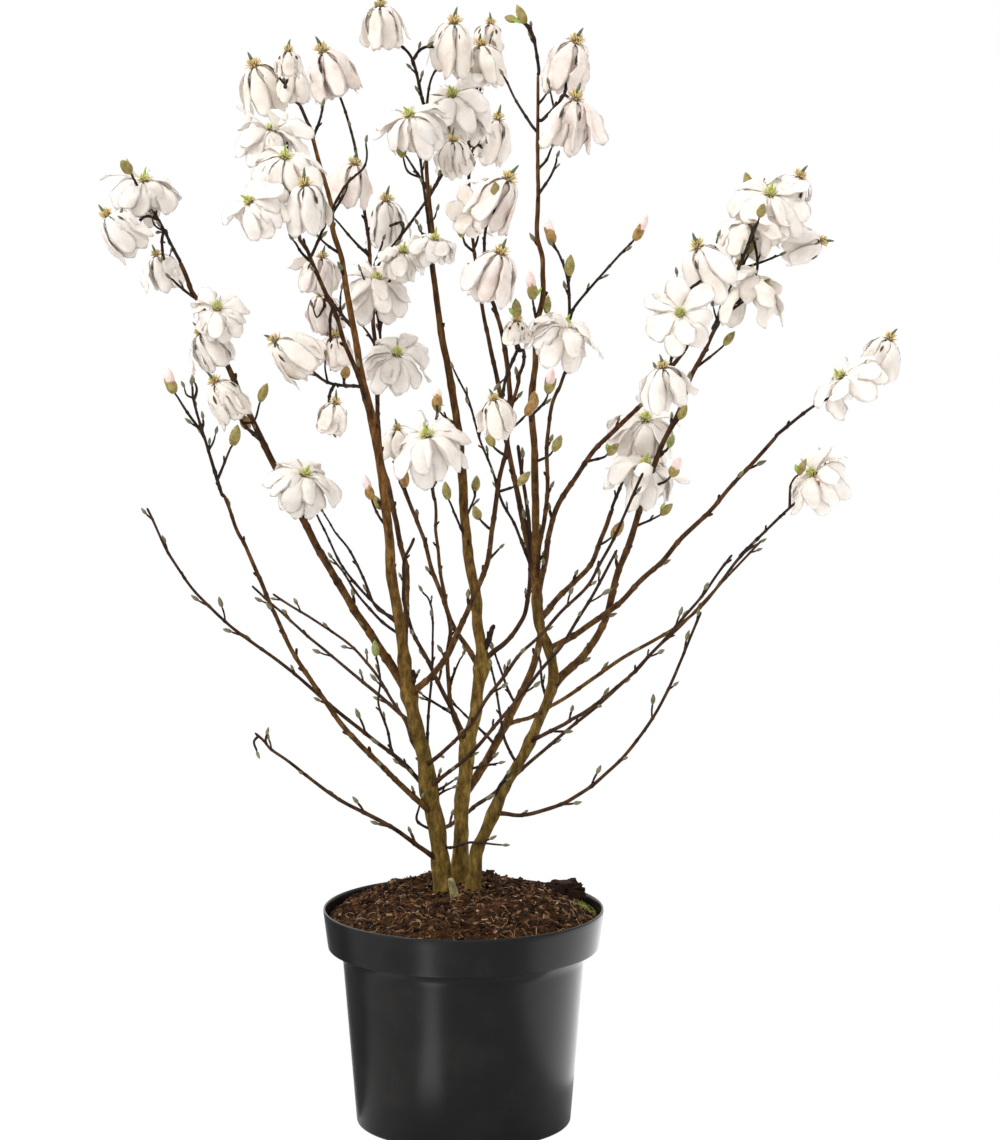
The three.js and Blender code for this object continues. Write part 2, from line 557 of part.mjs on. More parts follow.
// Small buds stand out from a shoot on alternate sides, and one ends it
function shootBuds(shoot) {
  const buds = [];
  const { curve } = shoot;
  const length = curve.getLength();
  const count = Math.floor(length / SHOOT_BUD_SPACING);
  for (let i = 1; i < count; i += 1) {
    const { place, along } = middleOf(shoot, (i + 0.6) / (count + 0.2));
    const side = new THREE.Vector3(0, 0, 1).cross(along).normalize();
    side.applyAxisAngle(along, i * GOLDEN_ANGLE);
    const outward = along.clone().addScaledVector(side, SHOOT_BUD_LEAN).normalize();
    buds.push(bud(place, outward, SHOOT_BUD_LENGTH, SHOOT_BUD_WIDTH));
  }
  const tip = curve.getPoint(1);
  buds.push(bud(tip, curve.getTangent(1), SHOOT_BUD_LENGTH * SHOOT_END_BUD, SHOOT_BUD_WIDTH));
  return buds;
}

function addShootBuds(name, parentName) {
  const shoot = limbs.get(name);
  const parent = limbs.get(parentName);
  let solid = shoot.solid;
  for (const piece of shootBuds(shoot)) {
    if (!touchesOthers(piece, [name])) solid = solid.add(piece);
  }
  shoot.solid = mainBody(solid.subtract(parent.clear));
}

function touchesOthers(piece, own) {
  for (const [name, limb] of limbs) {
    if (!own.includes(name) && solidsTouch(piece, limb.clear)) return true;
  }
  return false;
}

// ---------------------------------------------------------------- sprays

// A blossom: where its receptacle is, the way its spike points, and the middle and reach of its space
function blossomOf([across, up, depth, size, kind], seed) {
  const open = kind === "open";
  const place = placeOf(across, up, depth);
  const turn = chance(seed, 1) * 2 * Math.PI;
  const { lean, towards } = open ? OPEN_FACING : SPENT_FACING;
  const axis = new THREE.Vector3(Math.cos(turn) * lean, open ? 0 : Math.sin(turn) * lean, 0);
  axis.add(towards).normalize();
  const space = open ? OPEN_SPACE : SPENT_SPACE;
  const middle = place.clone().addScaledVector(axis, space.middle * TEPAL_LENGTH * size);
  const reach = space.reach * TEPAL_LENGTH * size;
  const tepals = size < SMALL_BLOSSOM ? SMALL_BLOSSOM_TEPALS : TEPALS;
  return { place, axis, middle, reach, size, girth: Math.max(size, LEAST_GIRTH), kind, seed, tepals };
}

// How far inside its own space a place lies, seen from a neighbouring blossom
function clearance(place, own, other) {
  const toOther = place.distanceToSquared(other.middle) - other.reach ** 2;
  const toOwn = place.distanceToSquared(own.middle) - own.reach ** 2;
  return (toOther - toOwn) / (2 * own.middle.distanceTo(other.middle));
}

// Where one tepal's foot, middle and tip are, and how wide it is across the middle
function tepalCorners(blossom, index) {
  const { place, axis, size, girth, kind, seed, tepals } = blossom;
  const shape = kind === "open" ? OPEN_TEPAL : SPENT_TEPAL;
  const turn = (index / tepals) * 2 * Math.PI + TEPAL_TURN * (chance(seed, 10 + index) - 0.5);
  const outward = new THREE.Vector3(0, 1, 0).cross(axis).normalize().applyAxisAngle(axis, turn);
  const inner = index % 2;
  const length = TEPAL_LENGTH * size * (1 - INNER_TEPAL * inner - TEPAL_VARIETY * chance(seed, 30 + index));
  const at = (out, rise) => place.clone().addScaledVector(outward, out).addScaledVector(axis, rise);
  const out = shape.out + shape.innerOut * inner;
  const tipOut = shape.tipOut + shape.tipVariety * chance(seed, 50 + index);
  return {
    foot: at(TEPAL_FOOT, 0),
    middle: at(out * length, (shape.rise + shape.innerRise * inner) * length),
    tip: at(tipOut * length, (shape.tipRise + shape.innerTipRise * inner) * length),
    side: axis.clone().cross(outward),
    width: shape.width * girth,
  };
}

// A tepal is an octahedron drawn out from foot to tip, widest at its middle
function tepalSolid({ foot, middle, tip, side, width }) {
  const geometry = new THREE.OctahedronGeometry(1);
  const places = geometry.getAttribute("position");
  const along = tip.clone().sub(foot).normalize();
  const back = side.clone().cross(along).normalize();
  const corner = new THREE.Vector3();
  for (let i = 0; i < places.count; i += 1) {
    corner.fromBufferAttribute(places, i);
    const end = corner.y > 0 ? tip : foot;
    const place = middle.clone().lerp(end, Math.abs(corner.y));
    place.addScaledVector(side, (corner.x * width) / 2);
    place.addScaledVector(back, (corner.z * TEPAL_THICKNESS) / 2);
    places.setXYZ(i, place.x, place.y, place.z);
  }
  return solidOf(geometry);
}

// A stalk goes straight on at first, swings out, and comes up into its blossom from below or behind
function stalkCurve(start, along, blossom) {
  const { place, axis, kind } = blossom;
  const distance = start.distanceTo(place);
  const straight = start.clone().addScaledVector(along, STRAIGHT_START);
  if (kind === "shoot") {
    const bow = start.clone().addScaledVector(along, distance * SHOOT_BOW).lerp(place, SHOOT_BOW);
    return smoothCurve([start, straight, bow, place.clone()]);
  }
  const below = place.clone().addScaledVector(axis, kind === "open" ? -OPEN_STALK_RISE : -STALK_RISE);
  const swing = start.clone().addScaledVector(along, distance * STALK_SWING).lerp(below, STALK_SWING);
  return smoothCurve([start, straight, swing, below, place.clone()]);
}

function twigOf(curve, footDiameter, tipDiameter) {
  const rings = Math.max(2, Math.round(curve.getLength() / TWIG_RING_SPACING) + 1);
  const radiusAt = taper(footDiameter, tipDiameter);
  return {
    curve,
    rings,
    solid: limbSolid(curve, radiusAt, TWIG_SIDES, rings),
    clear: limbSolid(curve, widerBy(radiusAt, 2 * GAP), TWIG_SIDES, rings),
  };
}

// A spray goes on from its bough's tip, or leaves the bough's side towards its blossoms
function rootOf(bough, up, blossoms) {
  const share = up === null ? 1 : shareAtHeight(bough.curve, up);
  const start = bough.curve.getPoint(share);
  const along = bough.curve.getTangent(share);
  if (up === null) return { start: start.addScaledVector(along, GAP), along };
  const outward = new THREE.Vector3();
  for (const blossom of blossoms) outward.add(blossom.place).sub(start);
  outward.addScaledVector(along, -outward.dot(along)).normalize();
  return { start, along: along.multiplyScalar(SIDE_LEAN).add(outward).normalize() };
}

const sprays = [];

// The leader goes from the bough to the first blossom, and each other stalk leaves it lower down
function growSpray([name, boughName, up, bigBuds, rows], index) {
  const bough = limbs.get(boughName);
  const blossoms = rows.map((row, k) => blossomOf(row, 7 * index + k + 1));
  const { start, along } = rootOf(bough, up, blossoms);
  const twigs = [twigOf(stalkCurve(start, along, blossoms[0]), TWIG_DIAMETER, TWIG_TIP_DIAMETER)];
  const [leader] = twigs;
  for (let k = 1; k < blossoms.length; k += 1) {
    const reach = blossoms[k].place.distanceTo(start) / leader.curve.getLength();
    const fork = middleOf(leader, THREE.MathUtils.clamp(FORK_SHARE * reach, LOWEST_FORK, HIGHEST_FORK));
    twigs.push(twigOf(stalkCurve(fork.place, fork.along, blossoms[k]), STALK_DIAMETER, TWIG_TIP_DIAMETER));
  }
  sprays.push({ name, bough, up, blossoms, twigs, bigBuds, seed: index + 1 });
}

// Big buds on short twigs that turn upward, stepped round the leader by the golden angle
function budTwigs(spray) {
  const pieces = [];
  for (let i = 0; i < spray.bigBuds; i += 1) {
    const share = BUD_TWIG_FIRST + BUD_TWIG_SPAN * ((i + chance(spray.seed, i)) / spray.bigBuds);
    const { place: fork, along } = middleOf(spray.twigs[0], share);
    const side = new THREE.Vector3(0, 1, 0).cross(along).normalize();
    side.applyAxisAngle(along, i * GOLDEN_ANGLE + spray.seed);
    const length = BUD_TWIG_LENGTH + BUD_TWIG_VARIETY * chance(spray.seed, 20 + i);
    const elbow = fork.clone().addScaledVector(side, length * 0.5).addScaledVector(along, length * 0.3);
    const tip = elbow.clone().addScaledVector(side, length * 0.2);
    tip.z += length * 0.6;
    const curve = smoothCurve([fork, elbow, tip]);
    const twig = twigOf(curve, TWIG_TIP_DIAMETER, TWIG_TIP_DIAMETER).solid;
    pieces.push(twig.add(bud(tip, curve.getTangent(1), BUD_LENGTH, BUD_WIDTH)));
  }
  return pieces;
}

// What stands on the end of a stalk: a big bud, or a receptacle with its spike
function headOf(blossom, stalk) {
  const { place, axis, girth, kind } = blossom;
  if (kind === "shoot") {
    return bud(stalk.curve.getPoint(1), stalk.curve.getTangent(1), BUD_LENGTH, BUD_WIDTH);
  }
  const radius = RECEPTACLE_RADIUS * girth;
  return spindle(place, axis, SPIKE_LENGTH * girth, radius, 2 * radius);
}

function tepalsOf(blossom) {
  const tepals = [];
  if (blossom.kind === "shoot") return tepals;
  for (let i = 0; i < blossom.tepals; i += 1) {
    const corners = tepalCorners(blossom, i);
    if (keepsToItsSpace(corners, blossom)) tepals.push(tepalSolid(corners));
  }
  return tepals;
}

function keepsToItsSpace({ middle, tip, side, width }, blossom) {
  const left = middle.clone().addScaledVector(side, -width / 2);
  const right = middle.clone().addScaledVector(side, width / 2);
  return sprays.every((spray) => spray.blossoms.every((other) => other === blossom
    || other.kind === "shoot"
    || [tip, left, right].every((place) => clearance(place, blossom, other) > 2 * GAP)));
}

function clearOfWood(piece, spray) {
  if (touchesOthers(piece, [])) return false;
  return sprays.every((other) => other === spray
    || other.twigs.every((twig) => !solidsTouch(piece, twig.clear)));
}

function spraySolid(spray) {
  const { bough, up, blossoms, twigs } = spray;
  let [{ solid }] = twigs;
  for (const twig of twigs.slice(1)) solid = solid.add(twig.solid);
  blossoms.forEach((blossom, k) => {
    solid = solid.add(headOf(blossom, twigs[k]));
    for (const tepal of tepalsOf(blossom)) {
      if (clearOfWood(tepal, spray)) solid = solid.add(tepal);
    }
  });
  for (const piece of budTwigs(spray)) {
    if (clearOfWood(piece, spray)) solid = solid.add(piece);
  }
  if (up !== null) solid = solid.subtract(bough.clear);
  return mainBody(solid);
}

// ---------------------------------------------------------------- assembly

const magnolia = new THREE.Group();

function addPart(name, solid, finishName) {
  const mesh = new THREE.Mesh(geometryOf(solid), finish(finishName));
  mesh.name = name;
  magnolia.add(mesh);
}

addPart("pot", potSolid(), "pot");
addPart("soil", soilSolid(), "soil");
addPart("cut_stub", stubSolid(), "stub");
STEMS.forEach((row) => growStem(row));
BOUGHS.forEach((row) => growBough(row, BOUGH_SIDES));
SHOOTS.forEach((row) => growBough(row, SHOOT_SIDES));
SHOOTS.forEach(([name, parentName]) => addShootBuds(name, parentName));
SPRAYS.forEach((row, index) => growSpray(row, index));
STEMS.forEach(([name]) => addPart(name, limbs.get(name).solid, "stem"));
BOUGHS.forEach(([name]) => addPart(name, limbs.get(name).solid, "bough"));
SHOOTS.forEach(([name]) => addPart(name, limbs.get(name).solid, "shoot"));
sprays.forEach((spray) => addPart(spray.name, spraySolid(spray), "spray"));

export default magnolia;
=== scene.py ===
"""A star magnolia in its black nursery pot, late in blossom, dressed for Blender.

The stems, boughs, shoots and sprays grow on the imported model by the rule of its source, carried
on to finer twigs, buds, tepals and stamens. Sizes and places are in millimetres until a mesh is
made. Places on the plant are set out on the source's elevation sheet: across, up and depth.
"""

import math

import bpy
import numpy as np
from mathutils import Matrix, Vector


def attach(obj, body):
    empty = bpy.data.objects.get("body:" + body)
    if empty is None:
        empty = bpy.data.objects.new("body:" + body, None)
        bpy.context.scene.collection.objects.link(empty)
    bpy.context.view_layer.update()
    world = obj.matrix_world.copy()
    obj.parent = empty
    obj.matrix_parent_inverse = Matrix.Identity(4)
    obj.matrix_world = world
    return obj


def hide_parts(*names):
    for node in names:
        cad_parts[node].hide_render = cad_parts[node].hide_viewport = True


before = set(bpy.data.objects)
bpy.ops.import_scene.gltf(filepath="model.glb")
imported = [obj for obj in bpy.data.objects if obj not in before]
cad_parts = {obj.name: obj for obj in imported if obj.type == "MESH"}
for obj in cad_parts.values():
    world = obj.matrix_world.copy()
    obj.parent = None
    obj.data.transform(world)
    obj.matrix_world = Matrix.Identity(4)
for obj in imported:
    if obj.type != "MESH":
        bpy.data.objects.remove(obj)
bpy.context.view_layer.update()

# ---------------------------------------------------------------- sizes

MM = 0.001
GOLDEN_ANGLE = math.pi * (3 - math.sqrt(5))
UP = np.array([0.0, 0.0, 1.0])
BACK = np.array([0.0, 1.0, 0.0])

POT_HEIGHT = 222
POT_FOOT_RADIUS = 109
POT_WALL_TOP_RADIUS = 123.2
POT_BAND_FOOT = 182
POT_BAND_FOOT_RADIUS = 137.2
POT_RIM_RADIUS = 141.8
POT_WALL = 1.8
POT_FLOOR = 3
POT_CORNER = 4
POT_LIP = 1
POT_SIDES = 192
NOTCHES = 8
NOTCH_WIDTH = 13
NOTCH_HEIGHT = 7
NOTCH_DEPTH = 9
NOTCH_SIDES = 24
FIRST_NOTCH_TURN = 33

SOIL_TOP = 236
SOIL_FLAT_RADIUS = 58
SOIL_SHOULDER_RADIUS = 100
SOIL_SHOULDER = 228
SOIL_EDGE = 210
SOIL_SIDES = 200
SOIL_RING_COUNT = 74
SOIL_EDGE_RADIUS = 137.6
SOIL_INSIDE_RADIUS = 134
# How many bark chips of each kind lie on the soil, and between what lengths they are
CHIPS = {"dark": (900, (2.5, 11)), "brown": (700, (2, 9)), "tan": (200, (2, 7))}
CHIP_SPREAD = 132
FIBRES = {"brown": 620, "tan": 300}
FIBRE_SPREAD = 130
MOSS_BLADES = 900
SOIL_RELIEF = 3.6
SOIL_BACK_RISE = 5
CLOD = {
    "across": 102, "depth": 42, "height": 230, "length": 46, "width": 26, "thickness": 21, "turn": 0.25,
}
STUB = {"across": -8, "depth": -22, "height": 21, "foot": 10, "cut": 6, "lean": 5}

GAP = 0.3
ROOT_FLARE = 0.55
ROOT_FLARE_HEIGHT = 26
COLLAR_FLARE = 0.6
FORK_SWELLING = 0.22
SIDES_A_LUMP = 24
COLLAR_HEIGHT = 4
TWIG_DIAMETER = 3.6
STALK_DIAMETER = 3.4
TWIG_TIP_DIAMETER = 2.2
FINE_TWIG_DIAMETER = 2.4
FINE_TWIG_TIP_DIAMETER = 1.5
STRAIGHT_START = 7
STALK_SWING = 0.35
STALK_RISE = 26
OPEN_STALK_RISE = 16
SHOOT_BOW = 0.5
SIDE_LEAN = 0.5
FORK_SHARE = 0.5
LOWEST_FORK = 0.14
HIGHEST_FORK = 0.6
ROUNDED_TIP = 0.6
LUMP_LENGTH = 9

STEM_WAVER = 2.2
BOUGH_WAVER = 2.4
SHOOT_WAVER = 2.0
TWIG_WAVER = 1.8
SIDE_TWIG_WAVER = 1.2
BUD_TWIG_WAVER = 0.8
FINE_TWIG_WAVER = 0.6
STEM_NODES = 64
BOUGH_NODES = 30
SHOOT_NODES = 36
TWIG_NODES = 16
SIDE_TWIG_NODES = 17
BUD_TWIG_NODES = 12
FINE_NODES = 13
STUB_NODES = 40

# How a limb is meshed: its sides, the spacing of its rings, the relief of its bark, and how high
# and how wide the swellings at its nodes are
LOOKS = {
    "stem": (28, 2.2, 0.065, 0.12, 5),
    "bough": (16, 2, 0.065, 0.24, 2.4),
    "shoot": (12, 2, 0.06, 0.32, 1.9),
    "stalk": (9, 2.2, 0.08, 0.42, 1.6),
    "side_twig": (8, 2.2, 0.08, 0.42, 1.6),
    "bud_twig": (8, 3, 0.04, 0.2, 1.6),
    "fine_twig": (7, 3, 0.04, 0.25, 1.4),
    "stub": (18, 1.2, 0.06, 0.1, 3),
}
# What stands on a limb's nodes: the share with a small bud on a spur, the share with a bare spur,
# and how big the buds are
NODE_DRESS = {
    "stem": (0.1, 0.4, 1.05),
    "bough": (0.35, 0.4, 1.05),
    "shoot": (0.8, 0.4, 1.05),
    "stalk": (0.3, 0.3, 0.85),
    "side_twig": (0.35, 0.25, 0.8),
}
FINE_TWIG_SHARE = 0.16
# A side twig's diameter at its foot and its tip, by its ending; the others are thin
SIDE_TWIG_SIZES = {"cut": (6, 5), "worn": (4.4, 3)}
THIN_TWIG_SIZE = (3.2, 1.9)
BUD_TWIG_SIZE = (2.6, 2)

HAIRS_A_BUD = 150
HAIR_LENGTH = 1.7
HAIR_HALF_WIDTH = 0.11
SMALL_BUD_LENGTH = 9
SMALL_BUD_WIDTH = 3.7
SMALL_BUD_LEAN = 0.3
LEAF_LENGTH = 15
LEAF_WIDTH = 5.5
LEAF_THICKNESS = 0.35

TEPAL_LENGTH = 62
TEPAL_ROWS = 14
TEPAL_COLUMNS = 7
TEPAL_THICKNESS = 0.5
SMALLEST_HEART = 0.7
RECEPTACLE_RADIUS = 5
RECEPTACLE_SIDES = 14
SPIKE_SIDES = 14
BELL_SCALES = 5
SCALE_THICKNESS = 0.4
SCALE_ROWS = 7
SCALE_COLUMNS = 5
SCALE_STANDS_OFF = 4.6
SPIKE_LENGTH = 16
STAMENS = 34
STAMEN_LENGTH = 8.5

STATION = np.array([37.0, -4000.0, 1156.0])
SHEET_CENTRE = np.array([37.0, 0.0, 567.0])
SHEET_CENTRE_UP = 550
PHOTO_HEIGHT = 1140
SENSOR = 36
CLIP_END_M = 2000
FLOOR_RADIUS_M = 600
FLOOR_DROP_M = 0.0005
FLOOR_SIDES = 128

RAMP_START = 0.3
RAMP_SPAN = 0.4
BARK_TURNS_FROM = 380
BARK_TURNS_TO = 700
LEFT_SKY = 1.74
RIGHT_SKY = 1.12
WEDGE_ACROSS = -120
WEDGE_FROM = -88
WEDGE_TO = -12
WEDGE_SHARES = [0.2, 0.86]
WEDGE_GREYS = [(0.52, 0.52, 0.52), (0.05, 0.05, 0.05)]

# Where each kind of thing starts to count its seeds
SEEDS = {
    "soil": 51, "chips": 60, "fibres": 70, "clod": 81, "moss": 91, "stub": 95,
    "stems": 100, "boughs": 200, "shoots": 300, "sprays": 400, "side_twigs": 700,
    "spray_buds": 1000, "spare_buds": 1500, "tepals": 3000, "spikes": 5000, "stamens": 6000,
    "stalk_nodes": 8000, "fine_twigs": 9000, "side_nodes": 12000, "side_buds": 13000, "limb_nodes": 20000,
}

# ---------------------------------------------------------------- the plant's parts

# Stems: name, foot on the soil (across, depth), diameters at foot and tip, way up to the tip
STEMS = [
    ["stem_left", [-20, 15], 15, 3.4, [
        [-28, 300, 14], [-51, 420, 6], [-69, 540, -6], [-84, 660, -22], [-112, 805, -40],
        [-132, 910, -52], [-151, 985, -62]]],
    ["stem_middle", [-3, 40], 15, 3.2, [
        [-3, 285, 40], [4, 370, 46], [19, 455, 54], [9, 550, 66], [-4, 670, 80], [-24, 810, 96],
        [-34, 905, 108], [-38, 1010, 122]]],
    ["stem_right", [9, 8], 12, 2.8, [
        [16, 275, 7], [42, 333, 0], [74, 393, -8], [89, 442, -12], [75, 515, -16], [70, 660, -18],
        [72, 770, -18], [81, 842, -14], [75, 900, -10], [75, 1045, -4]]],
]

# Boughs: name, parent, how far up it leaves the parent, diameters, way to the tip
BOUGHS = [
    ["bough_left_front", "stem_left", 305, 6, 3.2, [
        [-83, 355, -30], [-143, 424, -70], [-201, 532, -120], [-239, 625, -150]]],
    ["bough_far_left", "stem_left", 428, 9, 4.4, [
        [-103, 503, 34], [-158, 595, 60], [-213, 705, 72], [-258, 802, 80], [-283, 858, 86]]],
    ["bough_left_fork", "stem_left", 700, 5, 3.6, [[-121, 787, -80], [-153, 858, -118], [-166, 890, -135]]],
    ["bough_back_left", "stem_left", 455, 6, 3.8, [
        [-59, 560, 60], [-79, 655, 110], [-89, 772, 160], [-94, 880, 200]]],
    ["bough_front", "stem_left", 424, 6.5, 3.4, [
        [-13, 468, -42], [21, 553, -90], [39, 650, -135], [50, 725, -165], [59, 752, -178]]],
    ["bough_front_tall", "bough_front", 705, 5, 3.8, [[42, 755, -150], [35, 795, -162], [27, 825, -178]]],
    ["bough_centre_front", "stem_middle", 363, 4.6, 3, [
        [-12, 420, 52], [-14, 490, 22], [-22, 560, -45], [-28, 620, -105]]],
    ["bough_centre_back", "stem_middle", 450, 5.2, 4, [[-13, 500, 100], [-36, 572, 150], [-59, 630, 190]]],
    ["bough_inner_right", "stem_middle", 325, 8.5, 3.2, [
        [27, 365, 72], [74, 470, 125], [68, 563, 160], [51, 650, 190], [34, 745, 215], [18, 820, 232],
        [8, 895, 245]]],
    ["bough_right_front", "stem_right", 540, 4.6, 3.4, [[83, 620, -70], [85, 700, -120], [102, 748, -150]]],
    ["bough_right_long", "stem_right", 520, 5.6, 4, [
        [93, 605, -60], [137, 675, -120], [189, 727, -170], [222, 770, -195]]],
    ["bough_right_back", "stem_right", 500, 6, 4.5, [[124, 552, 70], [149, 610, 120]]],
    ["bough_far_right", "stem_right", 435, 8, 3.4, [
        [137, 485, 30], [162, 565, 45], [200, 675, 55], [239, 765, 60], [264, 822, 62], [281, 868, 64]]],
    ["bough_right_spread", "stem_right", 470, 6, 3.6, [
        [140, 503, -50], [194, 555, -80], [254, 617, -100], [313, 683, -115]]],
    ["bough_right_low", "bough_inner_right", 395, 4.4, 3.2, [
        [89, 414, 140], [157, 460, 170], [227, 505, 190], [277, 563, 205]]],
]

# Shoots: long thin twigs with small winter buds, set out as the boughs are
SHOOTS = [
    ["shoot_low_left", "stem_left", 258, 5.4, 2.6, [
        [-68, 291, -22], [-123, 319, -42], [-178, 361, -60], [-208, 387, -66]]],
    ["shoot_left_outer", "stem_left", 328, 4.4, 2.4, [
        [-69, 365, 34], [-143, 424, 22], [-213, 480, 10], [-280, 543, 0], [-316, 612, -5]]],
    ["shoot_left_middle", "stem_left", 393, 3.8, 2.4, [[-117, 452, 80], [-173, 500, 130], [-211, 534, 160]]],
    ["shoot_left_back", "stem_left", 340, 3.8, 2.4, [[-50, 380, 60], [-100, 462, 150], [-190, 526, 230]]],
    ["shoot_inner_left", "stem_middle", 377, 5, 3, [
        [-26, 438, 8], [-52, 495, -48], [-60, 545, -75], [-49, 582, -92]]],
    ["shoot_inner_right", "stem_middle", 458, 5, 3.4, [[54, 492, 42], [69, 550, 30], [55, 675, 14]]],
    ["shoot_cross_near", "stem_left", 332, 4.2, 2.8, [
        [-3, 357, -38], [62, 428, -72], [109, 490, -92], [154, 570, -110]]],
    ["shoot_cross_far", "stem_left", 354, 4.2, 2.6, [
        [0, 387, -70], [57, 464, -135], [129, 542, -190], [180, 647, -235]]],
    ["shoot_right_front", "stem_right", 378, 4.2, 2.4, [[124, 410, -90], [192, 470, -150], [269, 565, -210]]],
    ["shoot_right_back", "stem_left", 288, 4.4, 2.4, [
        [-2, 303, 92], [60, 352, 132], [182, 458, 200], [299, 580, 265]]],
    ["shoot_low_right", "stem_right", 307, 4.2, 2.6, [
        [72, 307, -30], [127, 333, -60], [192, 402, -90], [238, 508, -110]]],
]

# Sprays: name, bough, how far up it leaves the bough (None: at its tip), big buds, tint, and its
# blossoms as [across, up, depth, size, form, tilt to the right, nod to the front]. A shoot is a
# bare twig, and its last word says which bud ends it.
SPRAYS = [
    ["spray_left_front", "bough_left_front", None, 0, "cream", [
        [-271, 735, -175, 1, "shoot", "small"]]],
    ["spray_far_left_top", "bough_far_left", None, 0, "white", [
        [-319, 939, 116, 0.82, "mop", 4, 18], [-355, 904, 60, 0.88, "bell", -44, 8],
        [-306, 864, 140, 0.72, "bell", -22, 8], [-333, 948, 84, 1.15, "shoot", "olive"]]],
    ["spray_far_left_upper", "bough_far_left", 790, 0, "white", [
        [-246, 812, 20, 0.6, "mop", 2, 48], [-262, 786, 48, 0.78, "bell", -24, 10]]],
    ["spray_far_left_middle", "bough_far_left", 680, 1, "cream", [
        [-247, 737, 10, 0.85, "bell", -34, 8]]],
    ["spray_far_left_lower", "bough_far_left", 600, 0, "white", [
        [-158, 645, -10, 0.8, "mop", 14, 30]]],
    ["spray_left_fork", "bough_left_fork", None, 0, "white", [
        [-178, 962, -130, 0.8, "mop", 4, 24], [-213, 918, -175, 0.68, "mop", -40, 34],
        [-158, 934, -172, 0.9, "bell", -6, 10], [-191, 990, -90, 0.76, "mop", 2, 20]]],
    ["spray_left_top", "stem_left", None, 0, "cream", [
        [-168, 1050, -40, 0.62, "bell", 6, 8], [-208, 1053, -10, 0.95, "bell", -24, 12],
        [-175, 1068, -105, 0.45, "bell", 0, 5]]],
    ["spray_left_side", "stem_left", 790, 0, "blush", [
        [-141, 862, -10, 0.7, "bell", 12, 6], [-142, 824, 30, 0.75, "bell", -12, 10],
        [-127, 783, 20, 0.6, "bell", 4, 12]]],
    ["spray_left_inner", "bough_left_fork", 735, 0, "cream", [
        [-186, 778, -150, 0.9, "bell", -52, 6], [-118, 744, -100, 1, "shoot", "orange"],
        [-128, 716, -150, 0.55, "bell", 10, 10]]],
    ["spray_back_left_top", "bough_back_left", None, 0, "blush", [
        [-140, 1068, 190, 1, "bell", -18, 14], [-109, 955, 150, 0.85, "bell", 12, 8]]],
    ["spray_back_middle_top", "bough_back_left", 850, 0, "white", [
        [-10, 1024, 165, 0.92, "mop", -20, 34], [-77, 918, 255, 0.95, "bell", 6, 4],
        [8, 1006, 178, 0.6, "mop", 30, 24]]],
    ["spray_back_left_side", "bough_back_left", 715, 0, "white", [
        [-86, 840, 80, 0.82, "mop", 10, 40], [-66, 766, 80, 0.75, "mop", 16, 46],
        [-60, 868, 60, 0.55, "mop", 4, 30]]],
    ["spray_middle_top", "stem_middle", None, 0, "cream", [
        [-82, 1113, 90, 0.8, "bell", -6, 4], [-9, 1096, 130, 1, "bell", 3, 10]]],
    ["spray_middle_side", "stem_middle", 850, 1, "white", [
        [-53, 1004, 60, 0.78, "mop", -24, 26], [-28, 880, 40, 0.5, "mop", 6, 12]]],
    ["spray_inner_right_top", "bough_inner_right", None, 0, "cream", [
        [18, 1074, 200, 0.85, "bell", -10, 14], [34, 1000, 290, 0.88, "bell", 16, 6],
        [27, 1096, 235, 0.6, "bell", 8, 8], [-10, 979, 118, 0.7, "bell", -4, 16],
        [11, 908, 200, 0.5, "star", -10, 60]]],
    ["spray_front_tall", "bough_front_tall", None, 1, "blush", [
        [44, 940, -215, 0.95, "bell", 32, 10], [37, 866, -245, 0.9, "bell", 20, 14]]],
    ["spray_front", "bough_front", None, 1, "cream", [
        [54, 798, -208, 0.4, "bell", 0, 6], [31, 720, -222, 0.68, "bell", -12, 12]]],
    ["spray_centre_front", "bough_centre_front", None, 1, "white", [
        [-36, 684, -170, 0.85, "mop", -12, 34], [-26, 715, -110, 1, "shoot", "opening"]]],
    ["spray_centre_back", "bough_centre_back", None, 1, "cream", [
        [-66, 690, 215, 0.6, "bell", 0, 8]]],
    ["spray_right_tip", "stem_right", None, 0, "cream", [
        [62, 1098, -6, 1, "shoot", "olive"], [52, 1100, 16, 0.8, "shoot", "olive"]]],
    ["spray_right_top", "stem_right", 1000, 0, "blush", [
        [112, 1077, 12, 1, "bell", 20, 10], [112, 1020, -50, 1, "bell", 14, 14]]],
    ["spray_right_front", "bough_right_front", None, 1, "white", [
        [90, 878, -140, 1, "shoot", "opening"], [102, 794, -200, 0.76, "mop", 14, 16]]],
    ["spray_right_long", "bough_right_long", None, 0, "white", [
        [217, 807, -240, 0.64, "star", -6, 64], [236, 872, -180, 0.95, "bell", -28, 10],
        [200, 752, -250, 0.76, "bell", -6, 14]]],
    ["spray_right_back", "bough_right_back", None, 1, "white", [
        [182, 700, 90, 0.92, "mop", 8, 30], [182, 655, 60, 0.82, "mop", 4, 20]]],
    ["spray_far_right_side", "bough_far_right", 790, 1, "cream", [
        [287, 841, 44, 0.95, "mop", 14, -6], [286, 896, 40, 0.75, "mop", -14, 6]]],
    ["spray_far_right_top", "bough_far_right", None, 1, "white", [
        [307, 925, 60, 0.85, "mop", 0, 40], [336, 942, 70, 0.9, "bell", 24, 8],
        [357, 878, 110, 0.82, "bell", 76, 6]]],
    ["spray_right_spread", "bough_right_spread", None, 0, "white", [
        [379, 743, -120, 0.76, "star", -50, 14], [426, 780, -80, 0.8, "bell", 24, 8]]],
    ["spray_right_low", "bough_right_low", None, 0, "white", [
        [350, 646, 225, 0.8, "mop", -44, 40]]],
]

